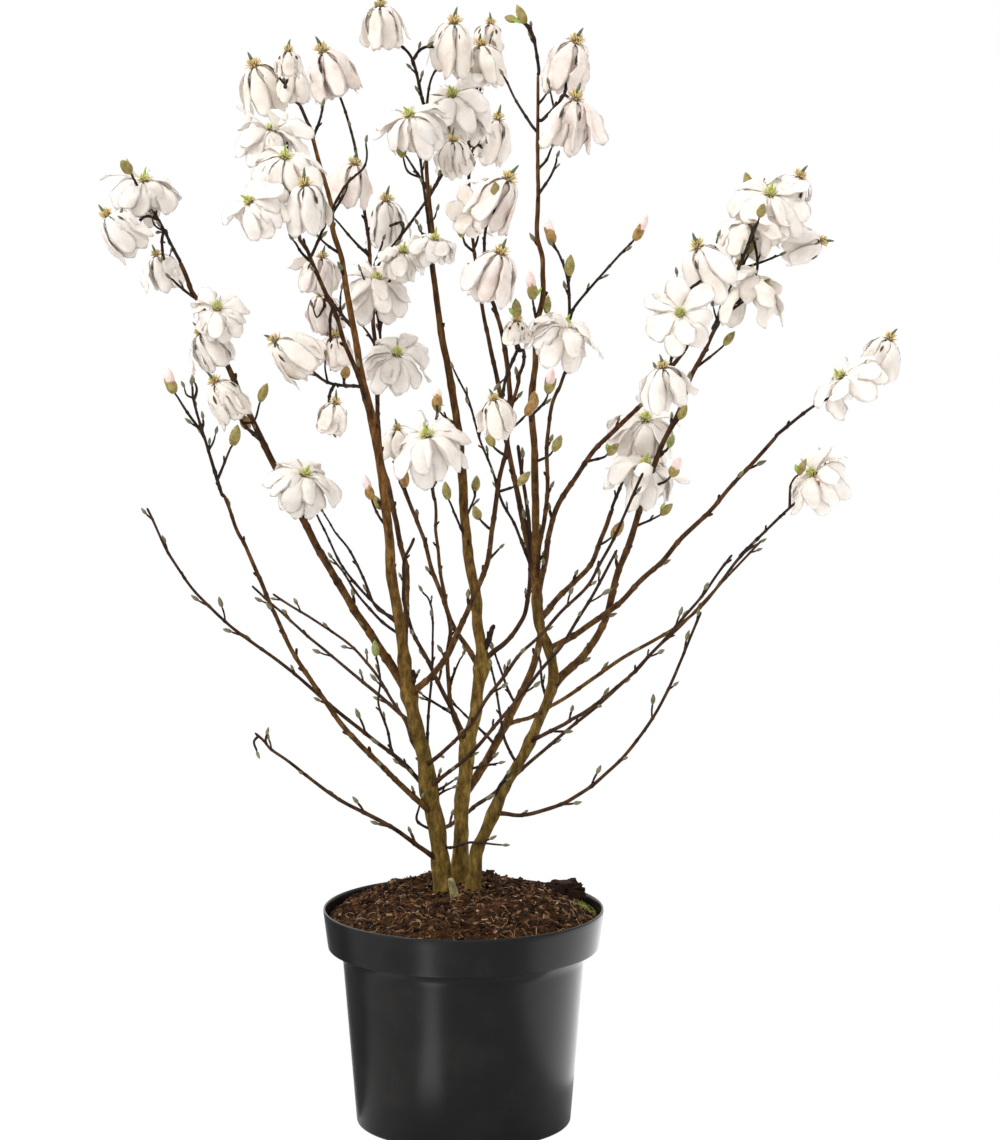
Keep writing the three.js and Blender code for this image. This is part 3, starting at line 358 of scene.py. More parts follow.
# Side twigs: the limb, how far up it leaves it, how much further back its tip lies, its way
# (across, up) and what ends it
SIDE_TWIGS = [
    ["stem_left", 275, -20, [[-13, 272], [7, 277], [40, 275]], "small"],
    ["stem_left", 287, -10, [[-45, 298], [-44, 312], [-41, 322]], "small"],
    ["stem_left", 322, -14, [
        [-53, 350], [-69, 364], [-75, 390], [-84, 416], [-82, 440], [-87, 465]], "green"],
    ["stem_left", 350, 15, [[-32, 440], [-30, 508], [-41, 529]], "small"],
    ["stem_right", 355, -12, [[42, 380], [37, 405], [28, 455]], "small"],
    ["bough_inner_right", 375, -15, [[12, 395], [-11, 417]], "small"],
    ["bough_centre_front", 406, -10, [[-33, 420], [-41, 426]], "small"],
    ["bough_inner_right", 415, -20, [[45, 430], [30, 472]], "small"],
    ["stem_right", 420, 15, [[78, 440], [76, 465]], "small"],
    ["bough_centre_front", 430, -8, [[-8, 448], [0, 465]], "small"],
    ["shoot_inner_right", 555, 10, [
        [52, 595], [39, 620], [30, 650], [17, 678], [4, 722], [-10, 752]], "small"],
    ["stem_middle", 465, -6, [[26, 480], [31, 495]], "cut"],
    ["stem_left", 426, -4, [[-50, 438], [-50, 450]], "cut"],
    ["stem_left", 322, -6, [[-24, 330], [-9, 340]], "small"],
    ["stem_left", 316, -4, [[-22, 326], [-11, 332]], "small"],
    ["stem_middle", 350, -8, [[20, 354], [36, 357]], "small"],
    ["stem_right", 318, -10, [[34, 330], [44, 346]], "small"],
    ["bough_far_left", 820, -8, [[-284, 834], [-293, 842]], "small"],
    ["spray_left_front", 690, 5, [[-259, 696], [-260, 702]], "small"],
    ["spray_left_front", 720, 5, [[-267, 730], [-269, 738]], "small"],
    ["stem_left", 980, 10, [[-145, 995], [-140, 1015]], "small"],
    ["stem_left", 935, -10, [[-160, 958], [-182, 980]], "small"],
    ["stem_left", 905, 8, [[-121, 922], [-115, 937]], "small"],
    ["stem_left", 866, -8, [[-134, 874], [-143, 882]], "small"],
    ["bough_back_left", 863, -10, [[-108, 878], [-129, 902]], "small"],
    ["bough_left_fork", 857, 5, [[-162, 868], [-170, 880]], "small"],
    ["bough_back_left", 773, -20, [[-95, 788], [-100, 795]], "bud"],
    ["bough_back_left", 848, -10, [[-86, 864], [-80, 880]], "small"],
    ["bough_front", 560, -8, [[31, 566], [37, 572]], "small"],
    ["bough_front", 590, 10, [[20, 598], [16, 602]], "bud"],
    ["bough_front", 628, -10, [[50, 633], [56, 636]], "bud"],
    ["bough_front", 665, 5, [[34, 671], [30, 675]], "bud"],
    ["bough_front", 690, -10, [[56, 698], [64, 706]], "orange"],
    ["stem_middle", 1000, 10, [[-33, 1034], [-26, 1054]], "small"],
    ["stem_middle", 930, 10, [[-49, 950], [-61, 968]], "small"],
    ["stem_middle", 695, -15, [[-19, 704], [-24, 709]], "bud"],
    ["stem_middle", 575, -10, [[-6, 600], [-15, 622]], "bud"],
    ["stem_middle", 600, 12, [[10, 620], [12, 630]], "bud"],
    ["stem_right", 987, 8, [[54, 1017], [40, 1045]], "small"],
    ["stem_right", 1015, -5, [[80, 1020], [85, 1027]], "small"],
    ["stem_right", 950, 6, [[84, 960], [89, 973]], "small"],
    ["stem_right", 925, -8, [[87, 944], [94, 963]], "small"],
    ["stem_right", 658, -6, [[85, 664], [91, 670]], "bud"],
    ["bough_right_long", 658, -8, [[140, 662], [146, 666]], "bud"],
    ["bough_far_right", 593, 10, [[186, 599], [199, 606]], "bud"],
    ["bough_far_right", 802, -10, [[280, 818], [296, 829]], "bud"],
    ["bough_far_right", 752, 5, [[249, 765], [262, 776]], "bud"],
    ["bough_far_right", 850, -6, [[299, 858], [317, 865]], "small"],
    ["stem_left", 590, -10, [[-84, 604], [-92, 622]], "opening"],
    ["stem_left", 600, 5, [[-74, 606], [-82, 612]], "bud"],
    ["bough_centre_back", 618, -5, [[-57, 628], [-58, 634]], "orange"],
    ["bough_inner_right", 868, -6, [[2, 876], [-1, 884]], "bud"],
    ["bough_inner_right", 872, 4, [[14, 880], [16, 888]], "green"],
    ["stem_right", 800, -8, [[72, 812], [70, 822]], "opening"],
    ["stem_right", 795, 8, [[84, 800], [84, 808]], "bud"],
    ["stem_right", 696, -14, [[68, 704], [70, 712]], "orange"],
    ["stem_right", 703, -20, [[80, 716], [85, 728]], "opening"],
    ["bough_far_right", 850, -90, [[284, 872], [297, 904]], "bud"],
    ["bough_far_right", 838, -14, [[280, 856], [286, 868]], "bud"],
    ["bough_far_right", 632, -12, [[202, 638], [209, 645]], "opening"],
    ["bough_right_back", 575, -10, [[142, 578], [150, 584]], "orange"],
    ["bough_far_right", 690, -8, [[212, 696], [217, 702]], "bud"],
    ["bough_far_right", 668, -10, [[203, 670], [206, 674]], "green"],
    ["spray_right_low", 612, 0, [[328, 634], [336, 646]], "bud"],
    ["spray_right_low", 618, -8, [[336, 622], [345, 626]], "orange"],
    ["bough_right_low", 550, 0, [[283, 568], [298, 578]], "small"],
    ["shoot_low_left", 376, 0, [[-197, 380], [-196, 386]], "small"],
    ["shoot_low_left", 384, -6, [[-209, 378], [-206, 368]], "small"],
    ["stem_left", 494, 40, [[-88, 515], [-106, 535], [-123, 557], [-138, 590], [-150, 612]], "small"],
    ["stem_left", 500, 24, [[-85, 512], [-98, 540], [-113, 570], [-128, 588], [-140, 608]], "small"],
    ["stem_left", 484, 12, [[-83, 500], [-103, 523], [-118, 547], [-131, 562]], "small"],
    ["bough_left_fork", 862, 6, [[-120, 930], [-99, 955], [-97, 978]], "small"],
    ["bough_far_right", 792, -80, [[261, 818], [279, 860], [294, 897]], "worn"],
    ["spray_right_front", 800, -20, [[112, 812], [132, 836], [152, 859], [172, 881]], "opening"],
    ["bough_far_left", 680, -24, [[-215, 692]], "orange"],
    ["bough_far_left", 622, -62, [[-172, 630]], "opening"],
    ["spray_left_front", 682, 0, [[-272, 702], [-289, 728]], "opening"],
    ["spray_left_front", 640, 0, [[-237, 660], [-230, 676]], "olive"],
]

# A form's tepals, in whorls from the outside in: how many a whorl has and their angle above the
# outward direction at five places from claw to tip. Then how wide and how long they are for the
# blossom, how limp they hang, how far their edges curl in and how far they stray from their angles
FORMS = {
    "bell": {"whorls": [(7, [-4, -55, -82, -91, -97]), (7, [-10, -61, -86, -94, -99])],
             "width": 22, "length": 1.02, "limp": 0.1, "curl": 0.27, "stray": 5},
    "mop": {"whorls": [(7, [2, -32, -62, -82, -92]), (7, [22, -6, -38, -66, -82]),
                       (5, [46, 18, -14, -48, -70])],
            "width": 24, "length": 1.08, "limp": 0.4, "curl": 0.18, "stray": 10},
    "star": {"whorls": [(6, [0, -14, -32, -52, -72]), (6, [28, 12, -2, -16, -30])],
             "width": 30, "length": 1.02, "limp": 0.2, "curl": 0.12, "stray": 8},
}
ANGLE_PLACES = [0, 0.2, 0.45, 0.7, 1]
WIDTH_PLACES = [0, 0.1, 0.22, 0.38, 0.54, 0.74, 0.87, 0.94, 0.98, 1]
WIDTH_SHARES = [0.2, 0.25, 0.4, 0.8, 1, 0.98, 0.84, 0.62, 0.38, 0.12]
BROADEST_SHARE = 0.4


# ---------------------------------------------------------------- numbers and lines


def turns(count):
    """The angles of evenly spaced sides round a full turn"""
    return np.arange(count) * 2 * math.pi / count


def unit(vector):
    """A vector, or each of many, at a length of one"""
    vector = np.asarray(vector, float)
    return vector / np.maximum(np.linalg.norm(vector, axis=-1, keepdims=True), 1e-12)


def across_of(direction, against):
    """The part of a direction that is square to another one"""
    return unit(direction - np.sum(direction * against, axis=-1, keepdims=True) * against)


def turned(vector, axis, angle):
    """A vector turned about an axis that it is square to"""
    angle = np.asarray(angle, float)[..., None]
    return vector * np.cos(angle) + np.cross(axis, vector) * np.sin(angle)


def chance(seed, draw):
    """The source's repeatable number from 0 to 1 for each seed and draw"""
    wave = math.sin(seed * 12.9898 + draw * 78.233) * 43758.5453
    return wave - math.floor(wave)


def lattice(cells, seed):
    """A repeatable number from -1 to 1 for each whole-numbered cell"""
    mixed = cells[..., 0] * 73856093 ^ cells[..., 1] * 19349663 ^ cells[..., 2] * 83492791
    mixed = (mixed ^ seed * 2654435761) & 0xFFFFFFFF
    mixed = (mixed ^ mixed >> 15) * 2246822519 & 0xFFFFFFFF
    mixed = (mixed ^ mixed >> 13) * 3266489917 & 0xFFFFFFFF
    return ((mixed ^ mixed >> 16) & 0xFFFF) / 32767.5 - 1


def noise(places, seed):
    """Smooth repeatable noise from -1 to 1, with a grain of one unit"""
    places = np.asarray(places, float)
    cells = np.floor(places).astype(np.int64)
    part = places - cells
    part = part * part * (3 - 2 * part)
    total = np.zeros(places.shape[:-1])
    for corner in np.ndindex(2, 2, 2):
        weight = np.prod(np.where(corner, part, 1 - part), axis=-1)
        total += weight * lattice(cells + corner, seed)
    return total


def skin_places(sides, spread, run):
    """Places in a noise for the skin of a tube, so that it has no seam"""
    angles = turns(sides)
    return np.stack(np.broadcast_arrays(
        np.cos(angles)[None] * spread, np.sin(angles)[None] * spread, run[:, None]), axis=-1)


sight_line = unit(SHEET_CENTRE - STATION)
sheet_up = unit(np.cross([1.0, 0.0, 0.0], sight_line))
sheet_distance = np.linalg.norm(SHEET_CENTRE - STATION)


def place_of(across, up, depth):
    """The place at a depth that is seen at a point of the elevation sheet"""
    on_sheet = SHEET_CENTRE + np.array([across - SHEET_CENTRE[0], 0, 0])
    on_sheet = on_sheet + sheet_up * (up - SHEET_CENTRE_UP)
    sight = on_sheet - STATION
    return STATION + sight * (depth - STATION[1]) / sight[1]


def height_on_sheet(place):
    """How high on the elevation sheet a place is seen"""
    sight = place - STATION
    return SHEET_CENTRE_UP + sight @ sheet_up * sheet_distance / (sight @ sight_line)


class Way:
    """A smooth line through places, which wavers a little between its ends"""

    STEPS = 200
    WAVE = 34
    CALM_END = 0.12
    AXIS_SHIFT = 7.3
    NEARBY = 0.004
    HALVINGS = 30

    def __init__(self, places, waver=0.0, seed=0):
        places = np.array(places, float)
        self.spans = len(places) - 1
        self.knots = np.vstack([2 * places[0] - places[1], places, 2 * places[-1] - places[-2]])
        self.waver = waver
        self.seed = seed
        self.reach = np.linalg.norm(np.diff(places, axis=0), axis=1).sum()
        self.marks = np.linspace(0, 1, self.STEPS + 1)
        steps = np.linalg.norm(np.diff(self.point(self.marks), axis=0), axis=1)
        self.run = np.concatenate([[0], np.cumsum(steps)])
        self.length = self.run[-1]

    def point(self, mark):
        """The places at marks from 0 to 1, which are even in the spans and not in length"""
        at = np.clip(np.atleast_1d(mark), 0, 1) * self.spans
        first = np.minimum(at.astype(int), self.spans - 1)
        t = (at - first)[:, None]
        before, start, end, after = (self.knots[first + i] for i in range(4))
        leave = (end - before) / 2
        arrive = (after - start) / 2
        line = ((2 * t**3 - 3 * t**2 + 1) * start + (t**3 - 2 * t**2 + t) * leave
                + (3 * t**2 - 2 * t**3) * end + (t**3 - t**2) * arrive)
        mark = at / self.spans
        calm = np.minimum(1, np.minimum(mark, 1 - mark) / self.CALM_END)
        along = np.stack([mark * self.reach / self.WAVE, 0 * mark, 0 * mark], axis=1)
        offset = np.stack([noise(along + i * self.AXIS_SHIFT, self.seed) for i in range(3)], axis=1)
        return line + self.waver * calm[:, None] ** 2 * offset

    def mark_at(self, share):
        """The marks at shares of the length"""
        return np.interp(np.asarray(share, float) * self.length, self.run, self.marks)

    def at(self, share):
        """The places at shares of the length"""
        return self.point(self.mark_at(share))

    def along(self, share):
        """The directions at shares of the length"""
        mark = np.atleast_1d(self.mark_at(share))
        ahead, behind = np.minimum(mark + self.NEARBY, 1), np.maximum(mark - self.NEARBY, 0)
        return unit(self.point(ahead) - self.point(behind))

    def stand(self, share):
        """The place at one share of the length, and the direction there"""
        return self.at(share)[0], self.along(share)[0]

    def share_at_height(self, up):
        """The share of the length at which the line is seen at a height of the elevation sheet"""
        low, high = 0.0, 1.0
        for _ in range(self.HALVINGS):
            middle = (low + high) / 2
            if height_on_sheet(self.point(middle)[0]) < up:
                low = middle
            else:
                high = middle
        return float(np.interp(low, self.marks, self.run) / self.length)


# ---------------------------------------------------------------- meshes


class Batch:
    """Vertices and triangles of many small bodies that become one piece"""

    def __init__(self):
        self.vertices = []
        self.triangles = []
        self.count = 0

    def add(self, vertices, triangles):
        """One more body, whose triangles count its own vertices from nought"""
        self.vertices.append(vertices)
        self.triangles.append(triangles + self.count)
        self.count += len(vertices)

    def piece(self, name, material, smooth=True):
        """All the bodies as one object in the scene"""
        vertices = np.concatenate(self.vertices) * MM
        triangles = np.concatenate(self.triangles)
        mesh = bpy.data.meshes.new(name)
        mesh.vertices.add(len(vertices))
        mesh.vertices.foreach_set("co", vertices.ravel().astype(np.float32))
        mesh.loops.add(triangles.size)
        mesh.loops.foreach_set("vertex_index", triangles.ravel().astype(np.int32))
        mesh.polygons.add(len(triangles))
        mesh.polygons.foreach_set("loop_start", np.arange(0, triangles.size, 3, dtype=np.int32))
        mesh.polygons.foreach_set("use_smooth", np.full(len(triangles), smooth))
        mesh.update(calc_edges=True)
        mesh.materials.append(material)
        made = bpy.data.objects.new(name, mesh)
        bpy.context.scene.collection.objects.link(made)
        return made


def grid_triangles(rows, columns, closed):
    """Triangles between the rows of a grid of vertices, whose columns may close to a ring"""
    steps = columns if closed else columns - 1
    row, column = np.meshgrid(np.arange(rows - 1), np.arange(steps), indexing="ij")
    here = row * columns + column
    beside = row * columns + (column + 1) % columns
    quads = np.stack([here, beside, beside + columns, here + columns], axis=-1).reshape(-1, 4)
    return np.concatenate([quads[:, [0, 1, 2]], quads[:, [0, 2, 3]]])


def fan_triangles(ring, centre, outward):
    """Triangles from a ring of vertices to one at its centre"""
    following = np.roll(ring, -1)
    fan = np.stack([ring, following, np.full(len(ring), centre)], axis=1)
    return fan if outward else fan[:, ::-1]


def ringed_triangles(rings, sides):
    """Triangles of a closed body of rings, whose two end vertices come after them"""
    last = rings * sides
    return np.concatenate([
        grid_triangles(rings, sides, True),
        fan_triangles(np.arange(sides), last, False),
        fan_triangles(np.arange(last - sides, last), last + 1, True),
    ])


STARTING_SIDES = unit(np.array([
    [1, 0, 0], [0, 1, 0], [0, 0, 1], [1, 1, 0], [1, -1, 0], [1, 0, 1], [0, 1, 1]]))


def directions_round(line):
    """Two directions square to a line at each of its places, which turn as little as they can"""
    along = unit(np.gradient(line, axis=0))
    worst = np.abs(along @ STARTING_SIDES.T).max(axis=0)
    first = across_of(STARTING_SIDES[worst.argmin()], along)
    return first, np.cross(along, first)


def tube(batch, line, radii, sides):
    """A closed tube round a line. The radii have one row a place, and one column or one a side"""
    first, second = directions_round(line)
    angles = turns(sides)
    radii = np.broadcast_to(radii.reshape(len(line), -1), (len(line), sides))[..., None]
    rings = (line[:, None] + radii * np.cos(angles)[None, :, None] * first[:, None]
             + radii * np.sin(angles)[None, :, None] * second[:, None])
    vertices = np.concatenate([rings.reshape(-1, 3), line[:1], line[-1:]])
    batch.add(vertices, ringed_triangles(len(line), sides))


# ---------------------------------------------------------------- limbs


class Limb:
    """A tapering limb with swollen nodes, where its buds and side twigs stand"""

    NODE_STRAY = (0.6, 1.4)
    BARE_TIP = 6

    def __init__(self, way, foot, tip, seed, node_spacing, flare=0.0, flare_height=1.0):
        self.way = way
        self.foot = foot
        self.tip = tip
        self.seed = seed
        self.flare = flare
        self.flare_height = flare_height
        self.forks = []
        rng = np.random.default_rng(seed)
        most = int(way.length / node_spacing / self.NODE_STRAY[0]) + 2
        nodes = np.cumsum(node_spacing * rng.uniform(*self.NODE_STRAY, most))
        self.nodes = nodes[nodes < way.length - self.BARE_TIP]
        self.node_turns = rng.uniform(0, 6) + np.arange(len(self.nodes)) * GOLDEN_ANGLE
        self.node_luck = rng.uniform(0, 1, len(self.nodes))

    def radius(self, run):
        """The radius at a distance from the foot"""
        share = run / self.way.length
        radius = (self.foot + (self.tip - self.foot) * share) / 2
        return radius * (1 + self.flare * np.exp(-run / self.flare_height))

    def swelling(self, run, height, width):
        """How much thicker the limb is: a ring at each node with a hollow above it, and at forks"""
        swell = np.ones_like(run)
        for node, luck in zip(self.nodes, self.node_luck):
            swell += height * (0.4 + 0.6 * luck) * np.exp(-(((run - node) / width) ** 2))
            swell -= 0.25 * height * np.exp(-(((run - node - 1.7 * width) / (0.5 * width)) ** 2))
        for fork in self.forks:
            swell += FORK_SWELLING * np.exp(-(((run - fork) / (2.4 * width)) ** 2))
        return swell

    def mesh(self, batch, look):
        """The limb's body, with lumps and long ridges in its bark"""
        sides, spacing, relief, swell_height, swell_width = LOOKS[look]
        rings = max(5, int(self.way.length / spacing))
        run = np.linspace(0, self.way.length, rings + 1)
        line = self.way.at(run / self.way.length)
        radius = self.radius(run) * self.swelling(run, swell_height, swell_width)
        radius[-1] *= ROUNDED_TIP
        around = skin_places(sides, sides / SIDES_A_LUMP, run / LUMP_LENGTH)
        lumps = noise(around, self.seed) + 0.5 * noise(around * [1.7, 1.7, 1.5], self.seed + 1)
        ridges = noise(around * [1.9, 1.9, 0.3], self.seed + 2)
        tube(batch, line, radius[:, None] * (1 + relief * (lumps + 0.8 * ridges)), sides)

    def side_at(self, share, turn):
        """The place at a share, the limb's direction there and the way out at a turn round it"""
        place, along = self.way.stand(share)
        return place, along, turned(across_of(BACK, along), along, turn)

    def side_of(self, index):
        """The same at a node, on the node's own side"""
        return self.side_at(self.nodes[index] / self.way.length, self.node_turns[index])


limbs = {}


def grow_limb(name, parent_name, up, foot, tip, way, waver, seed, node_spacing):
    """A limb that leaves its parent at a height of the elevation sheet, with a collar round its foot"""
    parent = limbs[parent_name]
    share = parent.way.share_at_height(up)
    parent.forks.append(share * parent.way.length)
    start = parent.way.at(share)[0]
    path = Way([start] + [place_of(*place) for place in way], waver, seed)
    limbs[name] = Limb(path, foot, tip, seed, node_spacing, COLLAR_FLARE, COLLAR_HEIGHT + parent.foot / 2)


for seed, (name, foot, foot_diameter, tip_diameter, way) in enumerate(STEMS, SEEDS["stems"]):
    start = np.array([foot[0], foot[1], SOIL_TOP + GAP])
    path = Way([start] + [place_of(*place) for place in way], STEM_WAVER, seed)
    limbs[name] = Limb(path, foot_diameter, tip_diameter, seed, STEM_NODES, ROOT_FLARE, ROOT_FLARE_HEIGHT)
for seed, row in enumerate(BOUGHS, SEEDS["boughs"]):
    grow_limb(*row, BOUGH_WAVER, seed, BOUGH_NODES)
for seed, row in enumerate(SHOOTS, SEEDS["shoots"]):
    grow_limb(*row, SHOOT_WAVER, seed, SHOOT_NODES)

# ---------------------------------------------------------------- blossoms and sprays


class Blossom:
    """Where a blossom's receptacle is, and the way its spike points"""

    def __init__(self, row, seed):
        across, up, depth, self.size, self.form = row[:5]
        self.open = self.form in ("star", "mop")
        self.age = "fresh" if self.open else "golden"
        self.seed = seed
        self.place = place_of(across, up, depth)
        if self.form == "shoot":
            self.bud = row[5]
            return
        tilt, nod = np.radians(row[5:])
        self.axis = np.array([math.sin(tilt) * math.cos(nod), -math.sin(nod), math.cos(tilt) * math.cos(nod)])
        self.side = unit(np.cross(BACK, self.axis))
        self.heart_size = max(self.size, SMALLEST_HEART)

    def lean(self, degrees, outward):
        """Directions at angles above the outward one, towards the spike"""
        angle = np.radians(degrees)[:, None]
        return np.cos(angle) * outward + np.sin(angle) * self.axis


def stalk_way(start, along, blossom, seed):
    """A stalk that leaves along a direction and comes to its blossom from below the spike"""
    place = blossom.place
    distance = np.linalg.norm(place - start)
    straight = start + along * STRAIGHT_START
    if blossom.form == "shoot":
        bow = (start + along * distance * SHOOT_BOW) * (1 - SHOOT_BOW) + place * SHOOT_BOW
        return Way([start, straight, bow, place], TWIG_WAVER, seed)
    below = place - blossom.axis * (OPEN_STALK_RISE if blossom.open else STALK_RISE)
    swing = (start + along * distance * STALK_SWING) * (1 - STALK_SWING) + below * STALK_SWING
    return Way([start, straight, swing, below, place], TWIG_WAVER, seed)


def root_of(bough, up, blossoms):
    """A spray goes on from its bough's tip, or leaves the bough's side towards its blossoms"""
    if up is None:
        return bough.way.stand(1)
    start, along = bough.way.stand(bough.way.share_at_height(up))
    outward = sum(blossom.place - start for blossom in blossoms)
    return start, unit(SIDE_LEAN * along + across_of(outward, along))


sprays = []
for index, (name, bough_name, up, big_buds, tint, rows) in enumerate(SPRAYS):
    bough = limbs[bough_name]
    blossoms = [Blossom(row, 7 * index + k + 1) for k, row in enumerate(rows)]
    start, along = root_of(bough, up, blossoms)
    seed = SEEDS["sprays"] + 10 * index
    way = stalk_way(start, along, blossoms[0], seed)
    leader = Limb(way, TWIG_DIAMETER, TWIG_TIP_DIAMETER, seed, TWIG_NODES)
    stalks = [leader]
    for k, blossom in enumerate(blossoms[1:], 1):
        reach = np.linalg.norm(blossom.place - start) / leader.way.length
        share = min(max(FORK_SHARE * reach, LOWEST_FORK), HIGHEST_FORK)
        way = stalk_way(*leader.way.stand(share), blossom, seed + k)
        stalks.append(Limb(way, STALK_DIAMETER, TWIG_TIP_DIAMETER, seed + k, TWIG_NODES))
    limbs[name] = leader
    sprays.append({"blossoms": blossoms, "stalks": stalks, "big_buds": big_buds, "tint": tint,
                   "seed": index + 1})

side_twigs = []
for seed, (limb_name, up, drift, way, ending) in enumerate(SIDE_TWIGS, SEEDS["side_twigs"]):
    parent = limbs[limb_name]
    start = parent.way.at(parent.way.share_at_height(up))[0]
    places = [start]
    for k, (across, height) in enumerate(way, 1):
        places.append(place_of(across, height, start[1] + drift * k / len(way)))
    size = SIDE_TWIG_SIZES.get(ending, THIN_TWIG_SIZE)
    twig = Limb(Way(places, SIDE_TWIG_WAVER, seed), *size, seed, SIDE_TWIG_NODES)
    side_twigs.append((twig, ending))

# The pieces that stand for the sprays: each one's finish and slot
SPRAY_PIECES = {
    "tepals_white": ("tepal_white", "blossom"),
    "tepals_cream": ("tepal_cream", "blossom"),
    "tepals_blush": ("tepal_blush", "blossom"),
    "twigs": ("twig_bark", "shoot_bark"),
    "small_buds": ("small_bud", "shoot_bark"),
    "buds_olive": ("bud_olive", "shoot_bark"),
    "buds_orange": ("bud_orange", "shoot_bark"),
    "buds_green": ("bud_green", "shoot_bark"),
    "bud_fuzz": ("bud_fuzz", "shoot_bark"),
    "bud_petal_tips": ("petal_tip", "blossom"),
    "young_leaves": ("young_leaf", "blossom"),
    "stamens_golden": ("stamen_golden", "blossom"),
    "spikes_golden": ("spike_golden", "blossom"),
    "stamens_fresh": ("stamen_fresh", "blossom"),
    "spikes_fresh": ("spike_fresh", "blossom"),
    "receptacles_and_painted_shade": ("receptacle", "blossom"),
    "bud_scales": ("bud_scale", "blossom"),
}
batches = {name: Batch() for name in SPRAY_PIECES}
twigs = batches["twigs"]
small_buds = batches["small_buds"]
limb_buds = Batch()
spurs = Batch()

# ---------------------------------------------------------------- buds

BUD_PLACES = [0, 0.06, 0.2, 0.38, 0.55, 0.72, 0.86, 0.95, 1]
BUD_SHARES = [0.42, 0.6, 0.88, 1, 0.92, 0.7, 0.42, 0.2, 0.03]
NOWHERE = np.zeros(3)


def bud(batch, place, along, length, width, seed, sides=10, rings=11):
    """A pointed bud with a slight bend and the seam of its scales"""
    rng = np.random.default_rng(seed)
    share = np.linspace(0, 1, rings)
    side = across_of(rng.normal(size=3), along)
    line = place + along * (share * length)[:, None] + side * (0.08 * length * share**2)[:, None]
    radius = np.interp(share, BUD_PLACES, BUD_SHARES) * width / 2
    around = skin_places(sides, 1, share * 3)
    tube(batch, line, radius[:, None] * (1 + 0.1 * noise(around * 1.4, seed)), sides)
    return line, radius


def hairs(line, radius, seed):
    """Silky hairs that lie forward along a bud"""
    rng = np.random.default_rng(seed)
    first, second = directions_round(line)
    at = rng.uniform(0, 0.85, HAIRS_A_BUD) * (len(line) - 1)
    low = at.astype(int)
    angle = rng.uniform(0, 2 * math.pi, HAIRS_A_BUD)[:, None]
    out = first[low] * np.cos(angle) + second[low] * np.sin(angle)
    along = unit(line[low + 1] - line[low])
    foot = line[low] + (line[low + 1] - line[low]) * (at - low)[:, None] + out * radius[low][:, None] * 0.92
    tip = foot + unit(along + 0.42 * out + 0.25 * rng.normal(size=(HAIRS_A_BUD, 3))) * HAIR_LENGTH
    wide = unit(np.cross(along, out)) * HAIR_HALF_WIDTH
    thick = out * HAIR_HALF_WIDTH
    vertices = np.stack([foot - wide, foot + wide, foot + thick, tip], axis=1).reshape(-1, 3)
    faces = np.array([[0, 2, 1], [0, 1, 3], [1, 2, 3], [2, 0, 3]])
    triangles = (np.arange(HAIRS_A_BUD)[:, None, None] * 4 + faces).reshape(-1, 3)
    batches["bud_fuzz"].add(vertices, triangles)


def big_bud(place, along, kind, seed, size=1.0):
    """A fat silky bud that ends a twig. An opening one shows its tepals, and may have a young leaf"""
    rng = np.random.default_rng(seed)
    opening = kind == "opening"
    length = size * rng.uniform(18, 22) * (0.85 if opening else 1)
    width = size * rng.uniform(9, 11)
    scales = batches["buds_" + (rng.choice(["olive", "orange"]) if opening else kind)]
    line, radius = bud(scales, place - along * 1.2, along, length, width, seed, 14, 15)
    hairs(line, radius, seed)
    if opening:
        bend = across_of(rng.normal(size=3), along)
        lean = unit(along + 0.16 * bend)
        bud(batches["bud_petal_tips"], line[7], lean, length * 1.05, width * 0.92, seed + 1, 12, 13)
        for side in (-1, 1):
            lean = unit(along + side * 0.34 * across_of(bend, along))
            bud(scales, place, lean, length * 0.95, width * 0.5, seed + 3 + side, 8, 9)
    if kind == "green" or rng.uniform() < 0.3:
        lean = unit(along + 0.9 * across_of(rng.normal(size=3), along))
        leaf(place, lean, LEAF_LENGTH * size, seed + 2)


def small_bud(batch, place, along, size, seed, toward=NOWHERE):
    """A small winter bud that goes on along its twig, and may lean to one side"""
    outward = unit(along + SMALL_BUD_LEAN * toward)
    length, width = SMALL_BUD_LENGTH * size, SMALL_BUD_WIDTH * size
    bud(batch, place - outward * 0.6, outward, length, width, seed, 8, 9)


def spur(batch, place, side, along, radius, length, seed):
    """A short stump on a limb's node: returns its end and its direction there"""
    rng = np.random.default_rng(seed)
    outward = unit(side + 0.9 * along + 0.25 * UP + 0.15 * rng.normal(size=3))
    share = np.linspace(0, 1, 7)[:, None]
    line = place + outward * share * (length + radius) + along * share**2 * length * 0.6
    width = np.interp(share[:, 0], [0, 0.5, 0.8, 1], [1.2, 0.95, 1.12, 0.8]) * radius
    tube(batch, line, width, 8)
    return line[-1], unit(line[-1] - line[-2])


# ---------------------------------------------------------------- tepals


def strap_topology(rows, columns):
    """Triangles of a thin closed blade: a front grid, and a back one that shares its rim"""
    front = np.arange(rows * columns).reshape(rows, columns)
    back = front.copy()
    inner = (rows - 2) * (columns - 2)
    back[1:-1, 1:-1] = rows * columns + np.arange(inner).reshape(rows - 2, columns - 2)
    triangles = grid_triangles(rows, columns, False)
    return np.concatenate([triangles, back.ravel()[triangles][:, ::-1]])


STRAP = strap_topology(TEPAL_ROWS, TEPAL_COLUMNS)
SCALE_STRAP = strap_topology(SCALE_ROWS, SCALE_COLUMNS)


def blade(batch, centre, side, normal, half_width, lift, thickness, triangles):
    """A thin closed blade along a centre line, with its surface lifted by the given heights"""
    rows, columns = lift.shape
    x = np.linspace(-1, 1, columns)
    surface = (centre[:, None] + side[:, None] * (x[None] * half_width[:, None])[..., None]
               + normal[:, None] * lift[..., None])
    back = surface - normal[:, None] * thickness
    batch.add(np.concatenate([surface.reshape(-1, 3), back[1:-1, 1:-1].reshape(-1, 3)]), triangles)


